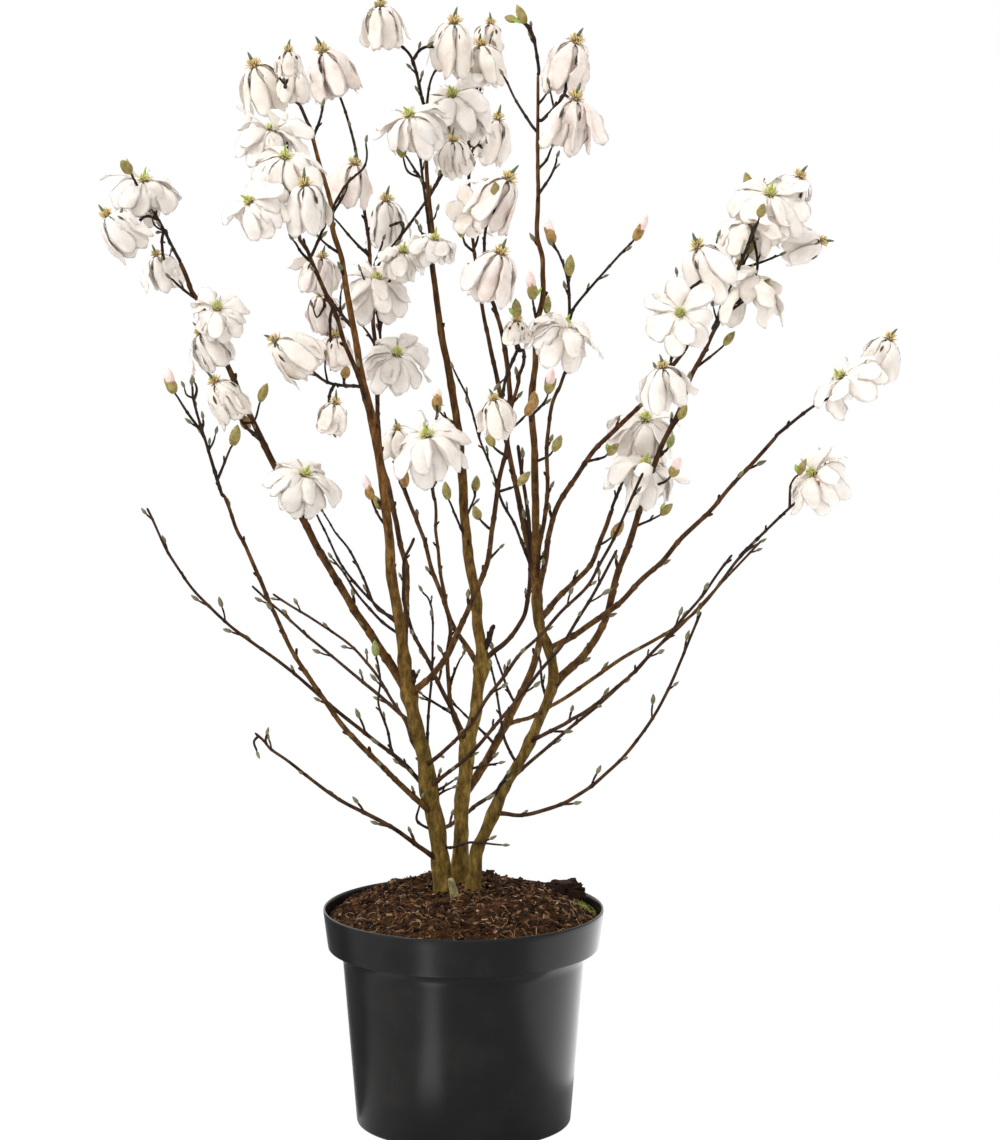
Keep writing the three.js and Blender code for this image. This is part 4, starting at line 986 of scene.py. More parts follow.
def tepal(batch, blossom, turn, rank, angles, rng, form):
    """One tepal: it leaves the receptacle outward, bends over and hangs, more limp to its tip"""
    share = np.linspace(0, 1, TEPAL_ROWS)
    length = TEPAL_LENGTH * blossom.size * form["length"] * rng.uniform(0.88, 1.03) * (1 - 0.07 * rank)
    stray = form["stray"] * (1 if rng.uniform() < 0.85 else 3)
    wobble = np.cumsum(rng.normal(0, stray, len(ANGLE_PLACES)))
    outward = turned(blossom.side, blossom.axis, turn + rng.normal(0, 0.22) * share**1.5)
    direction = blossom.lean(np.interp(share, ANGLE_PLACES, np.array(angles) + wobble), outward)
    direction = unit(direction - UP * (form["limp"] * rng.uniform(0.5, 1.3) * share**1.4)[:, None])
    foot = blossom.place + outward[0] * (3.4 - rank) + blossom.axis * (0.5 - 2 * rank)
    steps = direction[:-1] * length / (TEPAL_ROWS - 1)
    centre = foot + np.concatenate([np.zeros((1, 3)), np.cumsum(steps, axis=0)])
    flat = across_of(np.cross(blossom.axis, outward), direction)
    side = turned(flat, direction, rng.normal(0, 0.14) + rng.normal(0, 0.24) * share)
    normal = np.cross(direction, side)
    width = form["width"] * (BROADEST_SHARE + (1 - BROADEST_SHARE) * blossom.size) * rng.uniform(0.86, 1.12)
    half_width = np.interp(share, WIDTH_PLACES, WIDTH_SHARES) * width / 2
    x = np.linspace(-1, 1, TEPAL_COLUMNS)[None]
    curl = form["curl"] + rng.normal(0, 0.16) + rng.normal(0, 0.12) * share[:, None]
    seed = int(rng.integers(1, 10**6))
    grain = np.stack(np.broadcast_arrays(share[:, None] * 4.5, x * 1.2, np.full((1, 1), 0.5)), axis=-1)
    crumple = noise(grain, seed) + 0.5 * noise(grain * [2.3, 2.3, 1], seed + 1)
    pleats = 0.045 * np.cos(x * 9) * (1 - share[:, None])
    frill = 0.16 * np.sin(share[:, None] * rng.uniform(9, 16) + rng.uniform(0, 6) + 1.3 * x) * x**2
    lift = half_width[:, None] * (pleats + frill - curl * x**2 + (0.1 + 0.2 * x**2) * crumple)
    blade(batch, centre, side, normal, half_width, lift, TEPAL_THICKNESS, STRAP)


def leaf(place, along, length, seed):
    """A young leaf, folded along its midrib"""
    rng = np.random.default_rng(seed)
    share = np.linspace(0, 1, TEPAL_ROWS)
    centre = place + along * (share * length)[:, None] - UP * (share**2 * length * 0.15)[:, None]
    direction = unit(np.gradient(centre, axis=0))
    side = across_of(rng.normal(size=3), direction)
    half_width = np.sin(math.pi * np.clip(share, 0.02, 0.985) ** 0.8) ** 0.8 * LEAF_WIDTH / 2
    x = np.linspace(-1, 1, TEPAL_COLUMNS)[None]
    lift = half_width[:, None] * (0.5 * np.abs(x) + 0.05 * np.sin(share * 30)[:, None])
    normal = np.cross(direction, side)
    blade(batches["young_leaves"], centre, side, normal, half_width, lift, LEAF_THICKNESS, STRAP)


def receptacle(blossom):
    """The shaggy foot of a blossom, which shows between the tepals' claws. Its dark brown, reaching down
    inside the bell, is partly its own colour and partly painted shade
    """
    size = blossom.heart_size
    rings = 14
    share = np.linspace(0, 1, rings)
    outline = np.interp(share, [0, 0.2, 0.5, 0.8, 0.93, 1], [0.4, 0.95, 1, 0.9, 0.7, 0.4])
    radius = outline * RECEPTACLE_RADIUS
    shag = noise(skin_places(RECEPTACLE_SIDES, 2, share * 5), blossom.seed)
    line = blossom.place + blossom.axis * (np.linspace(-15, 3.5, rings) * size)[:, None]
    tube(batches["receptacles_and_painted_shade"], line, radius[:, None] * size * (1 + 0.25 * shag), RECEPTACLE_SIDES)


def spike(blossom):
    """The green cone of pistils that stands out of the stamens"""
    rng = np.random.default_rng(blossom.seed + SEEDS["spikes"])
    size = blossom.heart_size
    length = SPIKE_LENGTH * size * rng.uniform(0.85, 1.1)
    share = np.linspace(0, 1, 20)
    bend = across_of(rng.normal(size=3), blossom.axis)
    line = blossom.place + blossom.axis * (2 + share * length)[:, None] + bend * (share**2 * 2.6)[:, None]
    radius = np.interp(share, [0, 0.15, 0.5, 0.85, 1], [2.2, 2.3, 1.9, 1.1, 0.25]) * size
    angles = turns(SPIKE_SIDES)
    bumps = np.maximum(0, np.sin(angles[None] * 4 + share[:, None] * 40)) * np.sin(share[:, None] * 48) * 0.2
    tube(batches["spikes_" + blossom.age], line, radius[:, None] * (1 + bumps), SPIKE_SIDES)


def stamen_tuft(blossom):
    """Curved golden straps that stand round the foot of the spike, above the tepals"""
    rng = np.random.default_rng(blossom.seed + SEEDS["stamens"])
    size = blossom.heart_size
    share = np.linspace(0, 1, 5)
    for i in range(STAMENS):
        outward = turned(blossom.side, blossom.axis, i * GOLDEN_ANGLE)
        rank = i / STAMENS
        lift = 8 + 62 * rank + rng.normal(0, 10)
        direction = blossom.lean(lift + rng.uniform(-10, 55) * share, outward)
        long = STAMEN_LENGTH * size * rng.uniform(0.75, 1.15) * (1 - 0.25 * rank)
        foot = blossom.place + blossom.axis * (1.5 + 3 * rank) * size + outward * 2 * size
        line = foot + np.cumsum(direction, axis=0) * long / len(share)
        radius = np.interp(share, [0, 0.3, 0.8, 1], [0.5, 0.7, 0.62, 0.2]) * size
        tube(batches["stamens_" + blossom.age], line, radius, 5)


def hanging_scale(blossom, turn, angles, rng, form):
    """A dark bud scale that lies against the outside of the tepals, a little below their claws"""
    steps = 2 * SCALE_ROWS
    share = np.linspace(0, rng.uniform(0.32, 0.42), steps)
    outward = turned(blossom.side, blossom.axis, turn)
    direction = blossom.lean(np.interp(share, ANGLE_PLACES, angles), outward)
    length = TEPAL_LENGTH * blossom.size * form["length"] * share[-1]
    centre = blossom.place + outward * SCALE_STANDS_OFF + np.cumsum(direction, axis=0) * length / steps
    centre, direction = centre[-SCALE_ROWS:], direction[-SCALE_ROWS:]
    side = across_of(np.cross(blossom.axis, outward), direction)
    row = np.linspace(0, 1, SCALE_ROWS)
    half_width = np.sin(math.pi * np.clip(row, 0.04, 0.96)) ** 0.7 * rng.uniform(1.1, 1.8)
    lift = half_width[:, None] * 0.3 * (1 - np.linspace(-1, 1, SCALE_COLUMNS)[None] ** 2)
    normal = np.cross(direction, side)
    blade(batches["bud_scales"], centre, side, normal, half_width, lift, SCALE_THICKNESS, SCALE_STRAP)


def dress_blossom(blossom, tint):
    """All of a blossom: its tepals in whorls, the scales of a bell, and its heart"""
    form = FORMS[blossom.form]
    rng = np.random.default_rng(blossom.seed + SEEDS["tepals"])
    for rank, (count, angles) in enumerate(form["whorls"]):
        for i in range(count):
            turn = 2 * math.pi * (i + 0.5 * rank) / count + rng.normal(0, 0.1) + blossom.seed
            tepal(batches["tepals_" + tint], blossom, turn, rank, angles, rng, form)
    if blossom.form == "bell":
        for i in range(BELL_SCALES):
            turn = i * 2 * math.pi / BELL_SCALES + rng.uniform(0, 0.8)
            hanging_scale(blossom, turn, form["whorls"][0][1], rng, form)
    receptacle(blossom)
    spike(blossom)
    stamen_tuft(blossom)


# ---------------------------------------------------------------- twigs with what stands on them


def dress_nodes(limb, look, seed, spur_batch, bud_batch):
    """Small buds on spurs, and bare spurs, at a limb's nodes"""
    bud_share, spur_share, bud_size = NODE_DRESS[look]
    for i in range(len(limb.nodes)):
        place, along, side = limb.side_of(i)
        radius = float(limb.radius(limb.nodes[i]))
        luck = limb.node_luck[i]
        width = min(max(radius * 0.6, 0.9), 1.6)
        if luck < bud_share:
            length = 1.5 + radius + 9 * luck * bud_size
            end, outward = spur(spur_batch, place, side, along, width, length, seed + i)
            small_bud(bud_batch, end, outward, bud_size * (0.75 + 0.5 * luck / bud_share), seed + i)
        elif luck < bud_share + spur_share:
            spur(spur_batch, place, side, along, width, radius + 1 + 3 * luck, seed + i)


def fine_twigs(limb, seed):
    """Short fruiting twigs that leave the nodes of a stalk and end in a small bud"""
    rng = np.random.default_rng(seed)
    for i in range(len(limb.nodes)):
        if rng.uniform() > FINE_TWIG_SHARE:
            continue
        place, along, side = limb.side_of(i)
        length = rng.uniform(9, 24)
        elbow = place + side * length * 0.5 + along * length * 0.35
        tip = elbow + unit(side * 0.4 + UP) * length * 0.5
        way = Way([place, elbow, tip], FINE_TWIG_WAVER, seed + i)
        twig = Limb(way, FINE_TWIG_DIAMETER, FINE_TWIG_TIP_DIAMETER, seed + i, FINE_NODES)
        twig.mesh(twigs, "fine_twig")
        small_bud(small_buds, tip, way.along(1)[0], 0.9, seed + 50 + i, side * 0.2)


def spare_bud(spray, i):
    """A big bud on a short twig of its own, from the side of a spray's leader"""
    leader, seed = spray["stalks"][0], spray["seed"]
    share = 0.3 + 0.4 * (i + chance(seed, i)) / spray["big_buds"]
    fork, along, side = leader.side_at(share, i * GOLDEN_ANGLE + seed)
    length = 24 + 14 * chance(seed, 20 + i)
    elbow = fork + side * length * 0.5 + along * length * 0.3
    tip = elbow + side * length * 0.2 + UP * length * 0.6
    way = Way([fork, elbow, tip], BUD_TWIG_WAVER, seed + 40)
    Limb(way, *BUD_TWIG_SIZE, seed + 60 + i, BUD_TWIG_NODES).mesh(twigs, "bud_twig")
    big_bud(tip, way.along(1)[0], ["olive", "orange", "olive"][i % 3], SEEDS["spare_buds"] + seed + i)


for spray in sprays:
    for limb, blossom in zip(spray["stalks"], spray["blossoms"]):
        limb.mesh(twigs, "stalk")
        dress_nodes(limb, "stalk", SEEDS["stalk_nodes"] + limb.seed * 7, twigs, small_buds)
        fine_twigs(limb, SEEDS["fine_twigs"] + limb.seed * 7)
        if blossom.form != "shoot":
            dress_blossom(blossom, spray["tint"])
            continue
        tip, along = limb.way.stand(1)
        seed = SEEDS["spray_buds"] + blossom.seed
        if blossom.bud == "small":
            small_bud(small_buds, tip, along, 1, seed)
        else:
            big_bud(tip, along, blossom.bud, seed, blossom.size)
    for i in range(spray["big_buds"]):
        spare_bud(spray, i)

for index, (twig, ending) in enumerate(side_twigs):
    twig.mesh(twigs, "side_twig")
    dress_nodes(twig, "side_twig", SEEDS["side_nodes"] + 31 * index, twigs, small_buds)
    tip, along = twig.way.stand(1)
    seed = SEEDS["side_buds"] + index
    upward = unit(along + 0.5 * UP)
    if ending == "small":
        small_bud(small_buds, tip, along, 0.9, seed, 0.1 * UP)
    elif ending == "bud":
        big_bud(tip, upward, "olive", seed, 0.9)
    elif ending not in SIDE_TWIG_SIZES:
        big_bud(tip, upward, ending, seed, 0.85 if ending == "green" else 1.05)

# ---------------------------------------------------------------- finishes

finishes = {}


def set_sockets(node, values):
    """Sets a node's inputs by name, where _ stands for a blank"""
    for socket, value in values.items():
        node.inputs[socket.replace("_", " ")].default_value = value


def new_node(nodes, kind, **values):
    """A shader node with some of its inputs set"""
    node = nodes.new("ShaderNode" + kind)
    set_sockets(node, values)
    return node


def colour_ramp(nodes, colours):
    """A ramp through the given colours over the middle of a noise's range"""
    ramp = new_node(nodes, "ValToRGB")
    stops = ramp.color_ramp.elements
    stops[0].position = RAMP_START
    stops[1].position = RAMP_START + RAMP_SPAN
    stops[0].color = (*colours[0], 1)
    stops[1].color = (*colours[-1], 1)
    for i, colour in enumerate(colours[1:-1], 1):
        stops.new(RAMP_START + RAMP_SPAN * i / (len(colours) - 1)).color = (*colour, 1)
    return ramp


def finish(name, colours, grain, roughness, bump=0.0, bump_grain=1.0, stretch=1.0, higher=None, **sockets):
    """A shader whose colour wanders between the given ones, with a finer relief of its own.

    The colours' grain, the bump and its grain are in millimetres. Towards the top of the plant the
    finish turns to the higher colours, where they are given.
    """
    made = bpy.data.materials.new(name)
    made.use_nodes = True
    nodes, links = made.node_tree.nodes, made.node_tree.links
    shader = nodes["Principled BSDF"]
    shader.inputs["Roughness"].default_value = roughness
    set_sockets(shader, sockets)
    place = new_node(nodes, "TexCoord")
    scale = new_node(nodes, "Mapping", Scale=(1, 1, stretch))
    links.new(place.outputs["Object"], scale.inputs["Vector"])
    spots = new_node(nodes, "TexNoise", Scale=1 / (grain * MM), Detail=5, Roughness=0.62)
    links.new(scale.outputs["Vector"], spots.inputs["Vector"])
    ramp = colour_ramp(nodes, colours)
    links.new(spots.outputs["Fac"], ramp.inputs["Fac"])
    colour = ramp.outputs["Color"]
    if higher:
        upper = colour_ramp(nodes, higher)
        links.new(spots.outputs["Fac"], upper.inputs["Fac"])
        parts = new_node(nodes, "SeparateXYZ")
        links.new(place.outputs["Object"], parts.inputs["Vector"])
        rise = new_node(nodes, "MapRange", From_Min=BARK_TURNS_FROM * MM, From_Max=BARK_TURNS_TO * MM)
        links.new(parts.outputs["Z"], rise.inputs["Value"])
        blend = new_node(nodes, "Mix")
        blend.data_type = "RGBA"
        links.new(rise.outputs["Result"], blend.inputs["Factor"])
        links.new(colour, blend.inputs[6])
        links.new(upper.outputs["Color"], blend.inputs[7])
        colour = blend.outputs[2]
    links.new(colour, shader.inputs["Base Color"])
    if bump:
        relief = new_node(nodes, "TexNoise", Scale=1 / (bump_grain * MM), Detail=3)
        links.new(scale.outputs["Vector"], relief.inputs["Vector"])
        height = new_node(nodes, "Bump", Strength=0.8, Distance=bump * MM)
        links.new(relief.outputs["Fac"], height.inputs["Height"])
        links.new(height.outputs["Normal"], shader.inputs["Normal"])
    finishes[name] = made
    return made


PETAL_SHEEN = {
    "Subsurface_Weight": 0.35, "Subsurface_Scale": 0.005, "Subsurface_Radius": (1, 0.93, 0.88),
    "Specular_IOR_Level": 0.3,
}

finish("pot_plastic", [(0.003, 0.003, 0.003), (0.005, 0.0047, 0.0045), (0.009, 0.0085, 0.008)], 60, 0.27,
       0.08, 2.2, Specular_IOR_Level=0.2)
finish("potting_soil", [(0.006, 0.003, 0.001), (0.025, 0.012, 0.005), (0.075, 0.036, 0.014)], 7, 0.95, 1.2,
       1.4, Specular_IOR_Level=0.05)
finish("chip_dark", [(0.007, 0.004, 0.0025), (0.026, 0.013, 0.007)], 5, 0.9, 0.4, 1.2,
       Specular_IOR_Level=0.08)
finish("chip_brown", [(0.05, 0.021, 0.008), (0.16, 0.073, 0.032)], 5, 0.85, 0.4, 1.2,
       Specular_IOR_Level=0.08)
finish("chip_tan", [(0.18, 0.1, 0.05), (0.42, 0.28, 0.17)], 5, 0.85, 0.3, 1.2, Specular_IOR_Level=0.1)
finish("moss", [(0.08, 0.1, 0.02), (0.28, 0.28, 0.06)], 6, 0.9, 0.3, 1)
finish("cut_wood", [(0.06, 0.045, 0.016), (0.18, 0.15, 0.06), (0.33, 0.28, 0.13)], 4, 0.8, 0.6, 1.6)
finish("bough_bark", [(0.02, 0.009, 0.003), (0.074, 0.035, 0.009), (0.165, 0.083, 0.023)], 9, 0.7, 0.15,
       2.6, 0.6, [(0.014, 0.006, 0.003), (0.048, 0.02, 0.007), (0.115, 0.05, 0.016)],
       Specular_IOR_Level=0.08)
finish("shoot_bark", [(0.012, 0.006, 0.003), (0.04, 0.019, 0.008), (0.09, 0.041, 0.015)], 11, 0.7, 0.12,
       2.6, 0.6, [(0.009, 0.005, 0.004), (0.024, 0.012, 0.008), (0.055, 0.027, 0.015)],
       Specular_IOR_Level=0.08)
finish("twig_bark", [(0.008, 0.005, 0.004), (0.021, 0.012, 0.008), (0.06, 0.034, 0.019)], 6, 0.68, 0.15,
       1.8, Specular_IOR_Level=0.1)
finish("small_bud", [(0.07, 0.06, 0.03), (0.2, 0.19, 0.1)], 3, 0.8, 0.2, 0.7)
finish("bud_olive", [(0.12, 0.09, 0.02), (0.25, 0.2, 0.05), (0.36, 0.29, 0.09)], 5, 0.75, 0.3, 0.8)
finish("bud_orange", [(0.13, 0.06, 0.014), (0.28, 0.15, 0.035), (0.4, 0.25, 0.07)], 5, 0.75, 0.3, 0.8)
finish("bud_green", [(0.12, 0.14, 0.03), (0.27, 0.29, 0.08)], 5, 0.7, 0.2, 0.8)
finish("bud_fuzz", [(0.34, 0.31, 0.2), (0.6, 0.56, 0.42)], 3, 0.6)
finish("petal_tip", [(0.72, 0.48, 0.46), (0.78, 0.68, 0.62)], 6, 0.5, 0.2, 1, **PETAL_SHEEN)
finish("young_leaf", [(0.2, 0.36, 0.04), (0.42, 0.55, 0.1)], 6, 0.5, 0.2, 1)
finish("tepal_white", [(0.73, 0.635, 0.555), (0.83, 0.755, 0.68), (0.87, 0.82, 0.76)], 14, 0.6, 0.25, 1.6,
       **PETAL_SHEEN)
finish("tepal_cream", [(0.71, 0.585, 0.48), (0.82, 0.73, 0.64), (0.86, 0.8, 0.72)], 13, 0.6, 0.25, 1.6,
       **PETAL_SHEEN)
finish("tepal_blush", [(0.69, 0.52, 0.45), (0.81, 0.7, 0.625), (0.85, 0.775, 0.715)], 12, 0.6, 0.25, 1.6,
       **PETAL_SHEEN)
finish("stamen_golden", [(0.36, 0.24, 0.07), (0.66, 0.51, 0.21), (0.8, 0.69, 0.4)], 4, 0.6, 0.1, 0.6)
finish("stamen_fresh", [(0.4, 0.4, 0.08), (0.66, 0.64, 0.25), (0.74, 0.72, 0.42)], 4, 0.6, 0.1, 0.6)
finish("spike_golden", [(0.04, 0.06, 0.02), (0.12, 0.15, 0.06)], 3, 0.6, 0.2, 0.8)
finish("spike_fresh", [(0.22, 0.32, 0.03), (0.42, 0.52, 0.08)], 3, 0.6, 0.2, 0.8)
finish("bud_scale", [(0.012, 0.007, 0.004), (0.04, 0.022, 0.01), (0.1, 0.06, 0.025)], 4, 0.7, 0.2, 1)
# The receptacle's dark brown is partly its own colour and partly painted shade for the inside of the bell
finish("receptacle", [(0.08, 0.045, 0.02), (0.2, 0.14, 0.05)], 4, 0.8, 0.3, 0.8)

STEM_COLOURS = [(0.03, 0.018, 0.004), (0.095, 0.058, 0.012), (0.19, 0.125, 0.032)]
STEM_HIGHER_COLOURS = [(0.024, 0.01, 0.003), (0.07, 0.03, 0.008), (0.15, 0.07, 0.019)]

# Painted light on each stem's bark: how much lighter it is made at its foot and higher up, where that stem
# stands lit
STEM_PAINTED_LIGHT = {"stem_left": (1.05, 1.5), "stem_middle": (1.55, 1.0), "stem_right": (1.0, 1.05)}


def stem_finish_with_painted_light(name):
    """The olive bark of a stem, which turns brown higher up, made lighter by its share of painted light"""
    low, high = STEM_PAINTED_LIGHT[name]
    lower = [tuple(low * part for part in colour) for colour in STEM_COLOURS]
    higher = [tuple(high * part for part in colour) for colour in STEM_HIGHER_COLOURS]
    return finish(name + "_bark", lower, 5, 0.75, 0.35, 2.4, 0.4, higher, Specular_IOR_Level=0.08)


def add(piece, slot, *nodes):
    """A piece rides on the only body and stands for CAD nodes. The slot is not used"""
    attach(piece, "root")
    if nodes:
        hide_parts(*nodes)


spray_names = [row[0] for row in SPRAYS]
for name, (finish_name, slot) in SPRAY_PIECES.items():
    add(batches[name].piece(name, finishes[finish_name]), slot, *spray_names)
for rows, look in ((STEMS, "stem"), (BOUGHS, "bough"), (SHOOTS, "shoot")):
    for row in rows:
        name, limb, batch = row[0], limbs[row[0]], Batch()
        limb.mesh(batch, look)
        bark = stem_finish_with_painted_light(name) if look == "stem" else finishes[look + "_bark"]
        add(batch.piece(name + "_bark", bark), look + "_bark", name)
        dress_nodes(limb, look, SEEDS["limb_nodes"] + limb.seed * 53, spurs, limb_buds)
add(limb_buds.piece("limb_buds", finishes["small_bud"]), "shoot_bark")
add(spurs.piece("spurs", finishes["shoot_bark"]), "shoot_bark")

# ---------------------------------------------------------------- pot


def ring_profile(profile, sides):
    """A closed body turned about +Z from an outline that starts and ends on the axis"""
    profile = np.array(profile, float)
    angles = turns(sides)
    inner = profile[1:-1]
    rings = np.stack([
        inner[:, :1] * np.cos(angles), inner[:, :1] * np.sin(angles), np.repeat(inner[:, 1:], sides, axis=1),
    ], axis=-1)
    vertices = np.concatenate([rings.reshape(-1, 3), [[0, 0, profile[0, 1]], [0, 0, profile[-1, 1]]]])
    return vertices, ringed_triangles(len(inner), sides)


def stretch(start, end, count):
    """Places of an outline along a straight line"""
    return [np.array(start) + (np.array(end) - start) * i / count for i in range(count + 1)]


def arc(centre, radius, first, last, count):
    """Places of an outline round an arc, between two angles in degrees"""
    angles = np.radians(np.linspace(first, last, count + 1))
    return [np.array(centre) + radius * np.array([math.cos(a), math.sin(a)]) for a in angles]


def pot_outline():
    """The pot's outline from the middle of its foot, up its outside and down its inside"""
    outline = [np.array([0, 0])]
    outline += stretch([20, 0], [POT_FOOT_RADIUS - POT_CORNER, 0], 4)
    outline += arc([POT_FOOT_RADIUS - POT_CORNER, POT_CORNER], POT_CORNER, -80, 0, 6)
    outline += stretch([POT_FOOT_RADIUS + 0.2, POT_CORNER + 2], [POT_WALL_TOP_RADIUS, POT_BAND_FOOT], 12)
    outline += arc([POT_BAND_FOOT_RADIUS - 1.5, POT_BAND_FOOT + 1.5], 1.5, -90, 0, 4)
    outline += stretch([POT_BAND_FOOT_RADIUS + 0.3, POT_BAND_FOOT + 3], [POT_RIM_RADIUS, POT_HEIGHT - 3], 8)
    outline += arc([POT_RIM_RADIUS - POT_LIP, POT_HEIGHT - POT_LIP], POT_LIP, 20, 160, 6)
    outline += stretch([POT_RIM_RADIUS - POT_LIP - POT_WALL, POT_HEIGHT - 3],
                       [POT_BAND_FOOT_RADIUS - POT_WALL, POT_BAND_FOOT + POT_WALL], 4)
    outline += stretch([POT_WALL_TOP_RADIUS - POT_WALL, POT_BAND_FOOT + POT_WALL],
                       [POT_FOOT_RADIUS - POT_WALL, POT_CORNER], 4)
    outline += stretch([POT_FOOT_RADIUS - POT_CORNER, POT_FLOOR], [20, POT_FLOOR], 3)
    outline.append(np.array([0, POT_FLOOR]))
    return outline


def notch_cutter():
    """The round-topped blocks that cut the water notches out of the foot"""
    cutter = Batch()
    for i in range(NOTCHES):
        turn = math.radians(FIRST_NOTCH_TURN + i * 360 / NOTCHES)
        out = np.array([math.sin(turn), -math.cos(turn), 0])
        side = np.array([math.cos(turn), math.sin(turn), 0])
        angles = turns(NOTCH_SIDES)[:, None]
        ring = side * np.cos(angles) * NOTCH_WIDTH / 2 + UP * np.sin(angles) * NOTCH_HEIGHT
        ends = [ring + out * (POT_FOOT_RADIUS + sign * NOTCH_DEPTH / 2) for sign in (-1, 1)]
        vertices = np.concatenate(ends + [ends[0].mean(axis=0)[None], ends[1].mean(axis=0)[None]])
        cutter.add(vertices, ringed_triangles(2, NOTCH_SIDES)[:, ::-1])
    return cutter


pot_batch = Batch()
pot_batch.add(*ring_profile(pot_outline(), POT_SIDES))
pot = pot_batch.piece("pot_shell", finishes["pot_plastic"])
cutter = notch_cutter().piece("notch_cutter", finishes["pot_plastic"])
cut = pot.modifiers.new("notches", "BOOLEAN")
cut.operation = "DIFFERENCE"
cut.object = cutter
cut.solver = "EXACT"
bpy.context.view_layer.objects.active = pot
bpy.ops.object.modifier_apply(modifier=cut.name)
bpy.data.objects.remove(cutter)
add(pot, "pot_plastic", "pot")

# ---------------------------------------------------------------- soil


def soil_height(radius):
    """The soil's smooth height: flat in the middle, falling to a shoulder and then to the rim"""
    share = np.clip((radius - SOIL_FLAT_RADIUS) / (SOIL_SHOULDER_RADIUS - SOIL_FLAT_RADIUS), 0, 1)
    height = SOIL_TOP + (SOIL_SHOULDER - SOIL_TOP) * share**2
    edge = np.clip((radius - SOIL_SHOULDER_RADIUS) / (POT_RIM_RADIUS - POT_WALL - SOIL_SHOULDER_RADIUS), 0, 1)
    return height + (SOIL_EDGE - SOIL_SHOULDER) * edge


def soil_surface(x, y):
    """The height of the soil with its lumps, which are calmer towards the rim"""
    radius = np.hypot(x, y)
    places = np.stack([x, y, np.zeros_like(x)], axis=-1)
    seed = SEEDS["soil"]
    lumps = noise(places / 26, seed) + 0.55 * noise(places / 9, seed + 1) + 0.35 * noise(places / 4, seed + 2)
    calm = np.clip((SOIL_INSIDE_RADIUS - radius) / 10, 0.2, 1)
    back_rise = SOIL_BACK_RISE * np.clip(y / 100, 0, 1) * calm
    return soil_height(radius) + back_rise + SOIL_RELIEF * lumps * calm


def soil_body():
    """The soil's vertices and triangles: it fills the pot but for a gap, and its top is lumpy"""
    step_height = POT_BAND_FOOT + POT_WALL + GAP
    lower = [
        [0, POT_FLOOR + GAP],
        [POT_FOOT_RADIUS - POT_CORNER - GAP, POT_FLOOR + GAP],
        [POT_FOOT_RADIUS - POT_WALL - GAP, POT_CORNER + GAP],
        [POT_WALL_TOP_RADIUS - POT_WALL - GAP, step_height],
        [POT_BAND_FOOT_RADIUS - POT_WALL - GAP, step_height],
    ]
    radii = SOIL_EDGE_RADIUS * np.linspace(1, 0, SOIL_RING_COUNT) ** 0.9
    outline = lower + [[radius, soil_height(radius)] for radius in radii]
    vertices, triangles = ring_profile(outline, SOIL_SIDES)
    top = vertices[:, 2] > SOIL_EDGE - 1
    vertices[top, 2] = soil_surface(vertices[top, 0], vertices[top, 1])
    return vertices, triangles


soil_batch = Batch()
soil_batch.add(*soil_body())
add(soil_batch.piece("soil_mound", finishes["potting_soil"]), "potting_soil", "soil")

CUBE = np.array([[x, y, z] for x in (-1, 1) for y in (-1, 1) for z in (-1, 1)], float)
CUBE_TRIANGLES = np.array([
    [0, 1, 3], [0, 3, 2], [4, 6, 7], [4, 7, 5], [0, 4, 5], [0, 5, 1],
    [2, 3, 7], [2, 7, 6], [0, 2, 6], [0, 6, 4], [1, 5, 7], [1, 7, 3]])


def scattered(rng, spread):
    """A place on the soil, evenly spread within a radius"""
    radius = spread * math.sqrt(rng.uniform(0, 1))
    turn = rng.uniform(0, 2 * math.pi)
    return radius * math.cos(turn), radius * math.sin(turn)


def chips(batch, count, seed, sizes):
    """Flat splinters of bark that lie on the soil, each tilted its own way"""
    rng = np.random.default_rng(seed)
    for _ in range(count):
        x, y = scattered(rng, CHIP_SPREAD)
        size = rng.uniform(*sizes)
        shape = CUBE * np.array([1, rng.uniform(0.2, 0.6), rng.uniform(0.12, 0.3)]) * size / 2
        shape *= rng.uniform(0.55, 1.15, shape.shape)
        along = unit(np.append(rng.normal(size=2), rng.normal(0, 0.4)))
        side = across_of(np.append(rng.normal(size=2), rng.normal(0, 0.7)), along)
        turned_shape = shape @ np.stack([along, side, np.cross(along, side)])
        height = soil_surface(np.array(x), np.array(y)) + size * 0.06
        batch.add(turned_shape + np.array([x, y, height]), CUBE_TRIANGLES)


def fibres(batch, count, seed):
    """Thin curved root fibres on the soil"""
    rng = np.random.default_rng(seed)
    share = np.linspace(0, 1, 5)
    for _ in range(count):
        foot_x, foot_y = scattered(rng, FIBRE_SPREAD)
        heading = rng.uniform(0, 2 * math.pi) + rng.normal(0, 0.8) * share
        length = rng.uniform(4, 18)
        x = foot_x + np.cumsum(np.cos(heading)) * length / len(share)
        y = foot_y + np.cumsum(np.sin(heading)) * length / len(share)
        inside = np.minimum(1, SOIL_INSIDE_RADIUS / np.maximum(np.hypot(x, y), 1))
        x, y = x * inside, y * inside
        z = soil_surface(x, y) + 0.6 + 2.2 * np.sin(share * math.pi) * rng.uniform(0, 1)
        tube(batch, np.stack([x, y, z], axis=1), np.full(len(share), rng.uniform(0.18, 0.42)), 4)


for kind, (count, sizes) in CHIPS.items():
    batch = Batch()
    chips(batch, count, SEEDS["chips"] + count, sizes)
    add(batch.piece("soil_chips_" + kind, finishes["chip_" + kind], smooth=False), "potting_soil", "soil")
for kind, count in FIBRES.items():
    batch = Batch()
    fibres(batch, count, SEEDS["fibres"] + count)
    add(batch.piece("soil_fibres_" + kind, finishes["chip_" + kind]), "potting_soil", "soil")


